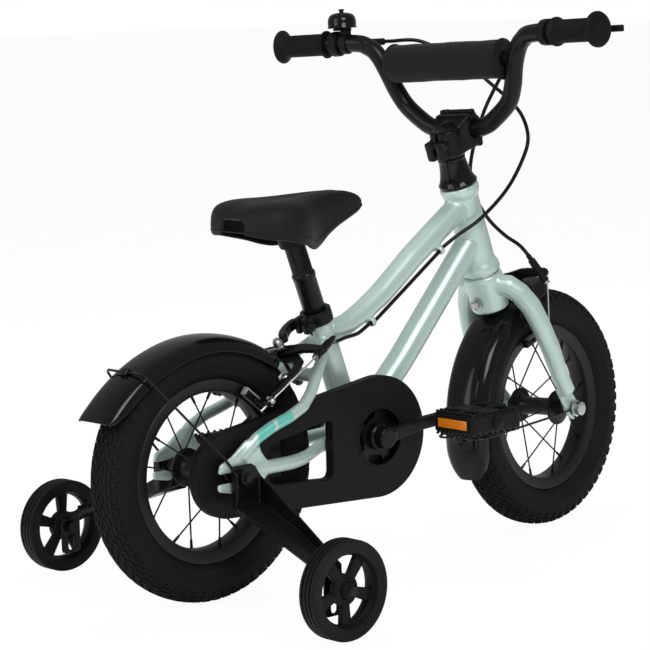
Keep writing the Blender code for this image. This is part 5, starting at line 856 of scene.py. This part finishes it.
class BIKE_OT_chain_case(bpy.types.Operator):
    """Models the two halves of the chain case with rounded edges and a raised rim"""
    bl_idname = "bike.chain_case"
    bl_label = "Chain case"

    def execute(self, context):
        outside, window = case_outline(0.0), window_outline(0.0)
        wall, lip = [outside, case_outline(-2.0)], [window_outline(2.0), window]
        crank_hole = ring_outline(CRANK_AHEAD, CRANK_ABOVE, 34.0)
        # Each shape: its outlines, thickness, bevel and place to the left, in millimetres
        cover = (([outside, window, crank_hole, ring_outline(0.0, 0.0, 12.0, 24)], 3.4, 1.2, -46.3),
                 (wall, 4.6, 0.3, -43.2), (lip, 5.0, 0.4, -43.4),
                 ([ring_outline(CRANK_AHEAD, CRANK_ABOVE, 37.0), crank_hole], 1.6, 0.5, -48.0))
        back = (([outside, window, ring_outline(CRANK_AHEAD, CRANK_ABOVE, 17.8, 32),
                  ring_outline(0.0, 0.0, 19.2, 24)], 2.0, 0.6, -35.3),
                (wall, 5.4, 0.3, -37.7), (lip, 5.4, 0.3, -37.7))
        for name, node, shapes in (("chain_case_cover", "chain_case_outer", cover),
                                   ("chain_case_back", "chain_case_inner", back)):
            dressed(united([flat_shape(*shape) for shape in shapes]), name, "matte_black_moulding", "root",
                    (node,), Matrix.Translation(REAR_AXLE), 40.0)
        return {"FINISHED"}


class BIKE_OT_stabiliser_wheels(bpy.types.Operator):
    """Models the stabiliser wheels with grooved treads and recessed spokes"""
    bl_idname = "bike.stabiliser_wheels"
    bl_label = "Stabiliser wheels"

    def execute(self, context):
        tread = mirrored([(38.2, 4.0), (39.0, 5.0), (41.2, 10.6), (42.4, 11.25), (54.2, 11.25), (55.4, 10.4),
                          (55.8, 9.0), (55.8, 6.9), (54.2, 6.6), (54.2, 5.0), (55.8, 4.7), (55.8, 1.1),
                          (54.2, 0.8)])
        hub = mirrored([(4.4, 13.0), (9.0, 13.0), (9.6, 12.4), (11.0, 6.0), (14.6, 4.6), (15.6, 3.8)])
        hub_ring = mirrored([(17.6, 3.2), (15.2, 4.0)])
        for word, centre in STABILISERS.items():
            pieces = [spun(tread, 72), spun(hub, 32), spun(hub_ring, 40)]
            first = math.radians(90.0 if word == "right" else -90.0)
            for i in range(5):
                spoke = boxed((28.0, 7.6, 10.6), (0.0265, 0.0, 0.0), 1.6, 3)
                # A spoke widens where it meets the rim
                for vertex in spoke.data.vertices:
                    vertex.co.z *= 1.0 + 0.5 * max(0.0, vertex.co.x - 0.030) / 0.010
                spoke.data.transform(Matrix.Rotation(math.tau * i / 5.0 + first, 4, "Y"))
                pieces.append(spoke)
            dressed(united(pieces), "stabiliser_" + word + "_roller", "matte_black_moulding",
                    "stabiliser_wheel_" + word, ("stabiliser_wheel_" + word,), Matrix.Translation(centre))
        return {"FINISHED"}


class BIKE_OT_saddle(bpy.types.Operator):
    """Models the padded saddle cover as one crowned skin with a turned-under edge"""
    bl_idname = "bike.saddle"
    bl_label = "Saddle"

    def execute(self, context):
        section = SADDLE_HALF + tuple((-across, up) for across, up in reversed(SADDLE_HALF[:-1]))

        def skin_place(length_share, width_share):
            x, wide, top, bottom = between(SADDLE, length_share)
            across, up = between(section, width_share)
            # The top dips a little along the middle, behind the nose
            dip = 1.6 * math.exp(-((x + 30.0) / 40.0) ** 2) * math.exp(-(across / 0.35) ** 2)
            z = bottom + (top - bottom) * up - (dip if up > 0.8 else 0.0)
            return SEAT_POST_TOP + Vector((x, -wide * across, z)) / 1000.0

        skin = sheet(57, 31, skin_place)
        finished(skin, "SOLIDIFY", "thickness", thickness=0.0042, offset=-1.0, use_even_offset=False)
        finished(skin, "SUBSURF", "round", levels=1, render_levels=1)
        mode("EDIT")
        face_outwards()
        mode("OBJECT")
        piece = dressed(skin, "saddle_padded_cover", "grained_vinyl", "seat", ("saddle_cover",), smooth=60.0)
        edge = []
        for side in (1, -1):
            line = [between(SADDLE, i / 40.0) for i in range(1, 40)]
            row = [SEAT_POST_TOP + Vector((x, side * wide * 0.995, bottom + (top - bottom) * 0.10)) / 1000.0
                   for x, wide, top, bottom in line]
            edge += row if side > 0 else list(reversed(row))
        seam = pipe(edge, SADDLE_SEAM, closed=True, sides=2)
        dressed(seam, "saddle_edge_seam", "grained_vinyl", "seat", smooth=60.0)
        return {"FINISHED"}


class BIKE_OT_crossbar_pad(bpy.types.Operator):
    """Models the foam pad round the crossbar, in a fabric sleeve closed by a flap"""
    bl_idname = "bike.crossbar_pad"
    bl_label = "Crossbar pad"

    def execute(self, context):
        radius = context.scene.bicycle_sizes.pad_radius * 1000.0
        half, tube_hole = 87.0, 9.4
        side = [(radius - 9.0, half - 0.6), (radius - 4.0, half), (radius - 1.4, half - 0.5),
                (radius - 0.3, half - 1.8)]
        middle = [(radius, (half - 6.0) * (1.0 - i / 12.0)) for i in range(25)]
        other_side = [(r, -y) for r, y in reversed(side)]
        pad = spun(side + middle + other_side + [(tube_hole, 1.0 - half), (tube_hole, half - 1.0)], 56)
        # Soft creases, and a section a little flatter than round; the hole for the tube stays as it is
        for vertex in pad.data.vertices:
            x, y, z = vertex.co
            if math.hypot(x, z) < 0.6 * radius / 1000.0:
                continue
            turn = math.atan2(z, x)
            soft = (math.sin(y * 92.0 + turn * 2.0) * 0.5 + math.sin(y * 211.0 - turn * 3.0 + 1.3) * 0.3
                    + math.sin(turn * 5.0 + y * 57.0) * 0.2)
            share = 1.0 + (soft * 0.45 + 0.9 * math.cos(2.0 * turn) - 0.9) / radius
            vertex.co = (x * share, y, z * share)
        place = along(PAD_CENTRE, PAD_AXIS)
        piece = dressed(pad, "crossbar_padded_sleeve", "woven_nylon", "steering", ("crossbar_pad",),
                        place, 50.0)
        seams, binding_radius = [], radius - 1.2
        for end in (-1, 1):
            turns = [math.tau * i / 48 for i in range(48)]
            ring = [Vector((binding_radius * math.cos(turn), end * (half - 2.4),
                            binding_radius * math.sin(turn))) / 1000.0 for turn in turns]
            seams.append(pipe(ring, PAD_BINDING, closed=True, sides=2))
        flap = boxed((1.6, 160.0, 20.0), (0.0, 0.0, 0.0))
        finished(flap, "SUBSURF", "steps", levels=1, render_levels=1, subdivision_type="SIMPLE")
        for vertex in flap.data.vertices:
            bend = vertex.co.z / (radius / 1000.0) + 0.5
            reach = radius / 1000.0 - 0.0008 + vertex.co.x
            vertex.co = (reach * math.cos(bend), vertex.co.y, reach * math.sin(bend))
        dressed(united(seams + [flap]), "crossbar_pad_binding", "woven_nylon", "steering", (), place, 50.0)
        return {"FINISHED"}


class BIKE_OT_grips(bpy.types.Operator):
    """Models the ribbed rubber grips with their end flanges"""
    bl_idname = "bike.grips"
    bl_label = "Grips"

    def execute(self, context):
        profile = [(11.3, 34.0), (16.4, 34.0), (17.5, 34.6), (17.6, 36.4), (16.2, 37.4), (14.2, 38.8)]
        for rib in [41.0 + 4.2 * i for i in range(12)]:
            profile += [(13.5, rib - 1.4), (14.1, rib - 0.9), (14.1, rib + 0.9), (13.5, rib + 1.4)]
        profile += [(13.8, 94.0), (15.6, 96.2), (19.6, 99.2), (21.2, 101.0), (21.3, 102.8), (20.4, 104.4),
                    (18.0, 105.4), (12.0, 105.6), (11.4, 106.8), (4.0, 107.0), (0.0, 107.0)]
        for word, (start, end) in GRIP_ENDS.items():
            place = along(Vector(start), (Vector(end) - Vector(start)).normalized())
            dressed(spun(profile, 48), "grip_" + word + "_ribbed", "grip_rubber", "steering",
                    ("grip_" + word,), place, 40.0)
        return {"FINISHED"}


class BIKE_OT_pedals(bpy.types.Operator):
    """Adds tread bars, serrated edges, end caps and amber reflectors to the pedals"""
    bl_idname = "bike.pedals"
    bl_label = "Pedal details"

    def execute(self, context):
        for word, centre in PEDALS.items():
            bars = [boxed((3.6, 3.2, 2.6), (x, (i - 4) * 0.0068, z), 0.7, 1)
                    for x in (-0.040, 0.040) for i in range(9) for z in (-0.0134, 0.0134)]
            bars += [boxed((4.4, 2.8, 1.8), ((i - 3) * 0.010, y, z), 0.6, 1)
                     for y in (-0.031, 0.0, 0.031) for i in range(7) for z in (-0.0133, 0.0133)]
            cap = spun([(0.0, 37.6), (4.5, 37.4), (7.2, 36.2), (8.4, 34.0), (8.4, 32.0), (0.0, 32.0)], 28)
            if word == "right":
                cap.data.transform(Matrix.Rotation(math.pi, 4, "Z"))
            lenses, rims = [], []
            for x in (-1.0, 1.0):
                lenses.append(boxed((2.4, 47.0, 11.0), (x * 0.0424, 0.0, 0.0), 0.8))
                rims += [boxed((2.8, 54.0, 2.0), (x * 0.0422, 0.0, z)) for z in (-0.007, 0.007)]
                rims += [boxed((2.8, 2.4, 14.0), (x * 0.0422, y, 0.0)) for y in (-0.0258, 0.0258)]
            body = "pedal_" + word
            for pieces, name, finish in ((bars + [cap], "_tread", "matte_black_moulding"),
                                         (lenses, "_reflectors", "amber_acrylic_painted_glow_and_glints"),
                                         (rims, "_reflector_frames", "matte_black_moulding")):
                dressed(united(pieces), body + name, finish, body, (), Matrix.Translation(centre))
        return {"FINISHED"}


class BIKE_OT_handlebar(bpy.types.Operator):
    """Models the handlebar and its crossbar as smoothly bent tubes"""
    bl_idname = "bike.handlebar"
    bl_label = "Handlebar"

    def execute(self, context):
        left = [BAR_MIDDLE + p for p in smooth_path(BAR_BEND, 8)]
        right = [Vector((p.x, -p.y, p.z)) for p in reversed(left[1:])]
        reach = PAD_AXIS * 0.103
        pieces = [pipe([STEERED @ p for p in right + left], BAR_TUBE, sides=10),
                  pipe([PAD_CENTRE - reach, PAD_CENTRE + reach], CROSSBAR_TUBE, sides=8)]
        # A rippled bead where each end of the crossbar meets the bar
        for end in (-1, 1):
            ring = [PAD_CENTRE + PAD_AXIS * (end * 0.1005) + across * (CROSSBAR_TUBE / 1000.0)
                    for across in around_axis(PAD_AXIS, 24)]
            pieces.append(pipe(ring, CROSSBAR_WELD, [1.0, 0.75] * 12, closed=True, sides=2))
        dressed(united(pieces), "handlebar_tubes", "satin_black_enamel", "steering", ("handlebar",),
                smooth=60.0)
        return {"FINISHED"}


class BIKE_OT_cables(bpy.types.Operator):
    """Models the covered brake cables, their end caps and the bare wire at each caliper"""
    bl_idname = "bike.cables"
    bl_label = "Brake cables"

    def execute(self, context):
        for name, body, route, wire in (("rear", "root", REAR_CABLE, REAR_WIRE),
                                        ("front", "steering", FRONT_CABLE, FRONT_WIRE)):
            path = smooth_path(route, 6)
            sleeve = [pipe(path, CABLE_SLEEVE, sides=5), pipe([path[-10], path[-1]], SLEEVE_CAP, sides=5),
                      pipe([path[0], path[8]], SLEEVE_COLLAR, sides=5)]
            piece = dressed(united(sleeve), name + "_brake_cable_sleeve", "cable_sleeve",
                            body if name == "front" else None, (name + "_brake_cable",), smooth=60.0)
            if name == "rear":
                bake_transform(piece)
            ends = [Vector(p) / 1000.0 for p in wire]
            barrel = [ends[0].lerp(ends[1], t) for t in (-0.1, 0.0, 0.02, 0.5, 0.52, 0.9, 0.92, 1.0)]
            bare = [pipe(ends, BARE_WIRE, sides=3),
                    pipe([ends[-1], ends[-1].lerp(ends[-2], 0.4)], FERRULE, sides=3),
                    pipe(barrel, BARREL, [0.9, 0.9, 1.1, 1.1, 0.85, 0.85, 1.1, 1.1], sides=6)]
            dressed(united(bare), name + "_brake_wire", "zinc_plated_steel", body, smooth=60.0)
        return {"FINISHED"}


def guard_place(axle, stations, share, across, drop):
    """A point on a mudguard's inside, at a share of its stations."""
    degrees, flare, drop_share, width_share = between(stations, share)
    angle = math.radians(degrees)
    reach = GUARD_RADIUS + flare - drop * GUARD_DROP * drop_share
    return axle + Vector((reach * math.cos(angle), across * width_share * GUARD_HALF_WIDTH,
                          reach * math.sin(angle))) / 1000.0


class BIKE_OT_mudguards(bpy.types.Operator):
    """Models the mudguards as smooth dished sheets with rolled edges, tabs and wire clips"""
    bl_idname = "bike.mudguards"
    bl_label = "Mudguards"

    def execute(self, context):
        rear_foot = REAR_BRAKE_FOOT + REAR_BRAKE_AXIS * 0.0372
        front_foot = HEAD_MIDDLE + HEAD_FORWARD * 0.026 - HEAD_UP * 0.093
        for name, body, axle, stations, foot, meets, clip in (
                ("rear", "root", REAR_AXLE, REAR_GUARD, rear_foot, 51.8, REAR_GUARD_CLIP),
                ("front", "steering", FRONT_AXLE, FRONT_GUARD, front_foot, 114.2, FRONT_GUARD_CLIP)):
            def guard_point(length_share, width_share):
                across, drop = between(GUARD_SECTION, width_share)
                return guard_place(axle, stations, 1.0 - length_share, across, drop)

            guard = sheet(73, 37, guard_point)
            finished(guard, "SOLIDIFY", "thickness", thickness=GUARD_THICKNESS / 1000.0, offset=1.0)
            lines = [[guard_place(axle, stations, i / 72.0, side, 1.0) for i in range(3, 70)]
                     for side in (-1.0, 1.0)]
            edges = [pipe(line, GUARD_EDGE, sides=2) for line in lines]
            # The tab runs from its bolt on the bicycle to a little past where it meets the guard, at an angle
            # round the axle
            angle = math.radians(meets)
            meeting = axle + Vector((math.cos(angle), 0.0, math.sin(angle))) * 0.1592
            run = (foot - meeting).normalized()
            reach = (foot - meeting).length + 0.008
            tab = boxed((reach * 1000.0, 16.0, GUARD_THICKNESS),
                        facing((foot + meeting) / 2.0 + run * 0.004, run, run.cross(SIDEWAYS)))
            outward = (clip - axle).normalized()
            block = boxed((10.0, 13.0, 6.5), facing(clip, outward.cross(SIDEWAYS), outward), 1.6, 3)
            piece = united([guard, tab, block] + edges)
            dressed(piece, name + "_mudguard_sheet", "gloss_black_moulding", body, (name + "_mudguard",),
                    STEERED if name == "front" else None, 50.0)
        return {"FINISHED"}


def acorn(start, heading):
    """A domed nut with its washer, standing on a point."""
    nut = spun([(0.0, 0.0), (6.6, 0.0), (6.8, 0.6), (6.6, 1.2), (5.0, 1.4), (5.4, 1.8), (5.4, 4.4),
                (5.0, 5.0), (4.4, 6.6), (3.2, 8.2), (1.6, 9.2), (0.0, 9.5)], 6)
    finished(nut, "BEVEL", "edges", width=0.0003, segments=2)
    nut.data.transform(along(start, heading))
    return nut


class BIKE_OT_small_parts(bpy.types.Operator):
    """Models the seat post, headset cone, bell dome, brake pads, nuts and the steerer's cap"""
    bl_idname = "bike.small_parts"
    bl_label = "Small parts"

    def execute(self, context):
        post = [(0.0, 78.0), (11.6, 78.0), (13.6, 79.0), (13.6, 208.0), (14.3, 209.0), (14.3, 213.5),
                (13.2, 214.8), (12.6, 216.0), (12.6, 275.6), (0.0, 276.0)]
        cone = [(22.3, 60.5), (23.8, 60.6), (24.4, 61.6), (24.4, 63.6), (23.2, 65.2), (21.4, 69.0),
                (19.6, 75.0), (18.2, 82.0), (17.2, 89.0), (16.8, 93.0), (17.4, 94.0), (17.4, 96.4),
                (16.6, 97.0), (14.7, 97.0), (14.7, 62.6), (22.3, 62.6)]
        cap = [(0.0, 133.2), (8.0, 133.2), (11.4, 133.8), (11.6, 134.6), (14.4, 134.8), (14.6, 134.2),
               (14.6, 131.0), (0.0, 131.0)]
        dome = [(0.0, 24.6), (2.4, 24.4), (3.0, 23.0), (5.0, 22.7), (9.0, 22.2), (13.0, 20.9), (15.8, 18.6),
                (17.4, 15.4), (18.0, 11.6), (18.0, 5.2), (18.6, 4.6), (18.6, 3.4), (17.4, 3.2), (16.8, 4.2),
                (16.8, 11.2), (15.6, 15.2), (13.4, 18.4), (8.4, 20.8), (2.6, 21.4), (0.0, 21.4)]
        head = STEERED @ along(HEAD_MIDDLE, HEAD_UP)
        for profile, steps, name, finish, body, nodes, place, smooth in (
                (post, 40, "seat_post_tube", "satin_black_enamel", "seat", ("seat_post",),
                 along(CRANK_CENTRE, SEAT_UP), 40.0),
                (cone, 48, "headset_cone_cover", "gloss_black_moulding", "steering", ("headset_cone",),
                 head, 30.0),
                (cap, 40, "steerer_end_cap", "satin_black_enamel", "steering", (), head, 30.0),
                (dome, 48, "bell_dome_shell", "gloss_black_moulding", "steering", ("bell_dome",),
                 along(BELL_FOOT, BELL_UP), 50.0)):
            dressed(spun(profile, steps), name, finish, body, nodes, place, smooth)
        nut = acorn(REAR_BRAKE_FOOT + REAR_BRAKE_AXIS * 0.0405, REAR_BRAKE_AXIS)
        dressed(nut, "rear_brake_nut", "zinc_plated_steel", "root", smooth=40.0)
        outward = Vector((-0.10, -0.97, 0.22)).normalized()
        bolts = [acorn(Vector(spot) / 1000.0 - outward * 0.003, outward) for spot in REAR_BRAKE_BOLTS]
        dressed(united(bolts), "rear_brake_arm_a_bolts", "zinc_plated_steel", "rear_brake_arm_a", smooth=40.0)
        # Brake pads: each caliper's angle round the axle in degrees; its pads stand 1.3 degrees to each side
        for wheel, axle, middle, place in (("rear", REAR_AXLE, 51.4, None),
                                           ("front", FRONT_AXLE, 107.5, STEERED)):
            for word, side in (("a", -1.0), ("b", 1.0)):
                angle = math.radians(middle + side * 1.3)
                radial = Vector((math.cos(angle), 0.0, math.sin(angle)))
                spot = axle + radial * BRAKE_PAD_RADIUS + SIDEWAYS * side * BRAKE_PAD_SIDE
                turned = facing(spot, Vector((radial.z, 0.0, -radial.x)), radial)
                pad = boxed(BRAKE_PAD, turned, 1.6, 3)
                dressed(pad, wheel + "_brake_pad_" + word, "brake_pad_rubber",
                        wheel + "_brake_arm_" + word, (), place)
        return {"FINISHED"}


def weld_bead(start, toward, tube_radius, post_point, post_axis, post_radius, bead_mm):
    """A rippled bead where a tube meets a post; the tube runs from start towards the post."""
    heading = (toward - start).normalized()
    first = heading.cross(SIDEWAYS).normalized()
    points, count = [], 90
    for i in range(count):
        angle = math.tau * i / count
        offset = (first * math.cos(angle) + SIDEWAYS * math.sin(angle)) * tube_radius
        low, high = 0.0, (toward - start).length
        for _ in range(30):
            middle = (low + high) / 2.0
            point = start + heading * middle + offset - post_point
            if (point - post_axis * point.dot(post_axis)).length > post_radius:
                low = middle
            else:
                high = middle
        points.append(start + heading * low + offset)
    return pipe(points, bead_mm, [0.72, 1.0] * (count // 2), closed=True, sides=2)


class BIKE_OT_welds(bpy.types.Operator):
    """Adds the rippled weld beads where the frame's tubes meet"""
    bl_idname = "bike.welds"
    bl_label = "Weld beads"

    def execute(self, context):
        bead = context.scene.bicycle_sizes.weld_radius * 1000.0
        head_post = (HEAD_MIDDLE, HEAD_UP, HEAD_TUBE, bead)

        def head(forward, up):
            return HEAD_MIDDLE + HEAD_FORWARD * forward / 1000.0 + HEAD_UP * up / 1000.0

        beads = [weld_bead(head(-60.0, 19.7), head(0.0, 36.5), TOP_TUBE, *head_post),
                 weld_bead(head(-50.0, -35.5), head(2.0, -11.0), DOWN_TUBE, *head_post),
                 weld_bead(Vector((0.2385, 0.0, 0.3000)), CRANK_CENTRE + SEAT_UP * 0.136, TOP_TUBE_END,
                           CRANK_CENTRE, SEAT_UP, SEAT_TUBE, bead)]
        dressed(united(beads), "frame_weld_beads", "mint_metallic_paint", "root", smooth=60.0)
        return {"FINISHED"}


class BIKE_PT_panel(bpy.types.Panel):
    """Lists the steps in the 3D view's sidebar"""
    bl_idname = "BIKE_PT_panel"
    bl_label = "Bicycle"
    bl_space_type = "VIEW_3D"
    bl_region_type = "UI"
    bl_category = "Bicycle"

    def draw(self, context):
        for group in (context.scene.bicycle_sizes, context.scene.bicycle_colours):
            for name in group.bl_rna.properties.keys():
                if name not in ("rna_type", "name"):
                    self.layout.prop(group, name)
        for step in STEPS:
            self.layout.operator(step.bl_idname)


STEPS = (BIKE_OT_stage, BIKE_OT_finishes, BIKE_OT_rounded, BIKE_OT_tyres, BIKE_OT_rims, BIKE_OT_chain_case,
         BIKE_OT_stabiliser_wheels, BIKE_OT_saddle, BIKE_OT_crossbar_pad, BIKE_OT_grips, BIKE_OT_pedals,
         BIKE_OT_handlebar, BIKE_OT_cables, BIKE_OT_mudguards, BIKE_OT_small_parts, BIKE_OT_welds)
CLASSES = (BicycleSizes, BicycleColours) + STEPS + (BIKE_PT_panel,)


def register():
    for kind in CLASSES:
        bpy.utils.register_class(kind)
    bpy.types.Scene.bicycle_sizes = bpy.props.PointerProperty(type=BicycleSizes)
    bpy.types.Scene.bicycle_colours = bpy.props.PointerProperty(type=BicycleColours)


def unregister():
    del bpy.types.Scene.bicycle_colours
    del bpy.types.Scene.bicycle_sizes
    for kind in reversed(CLASSES):
        bpy.utils.unregister_class(kind)


def main():
    register()
    make_materials(bpy.context.scene.bicycle_colours)
    for step in STEPS:
        group, name = step.bl_idname.split(".")
        getattr(getattr(bpy.ops, group), name)()


if __name__ == "__main__":
    main()
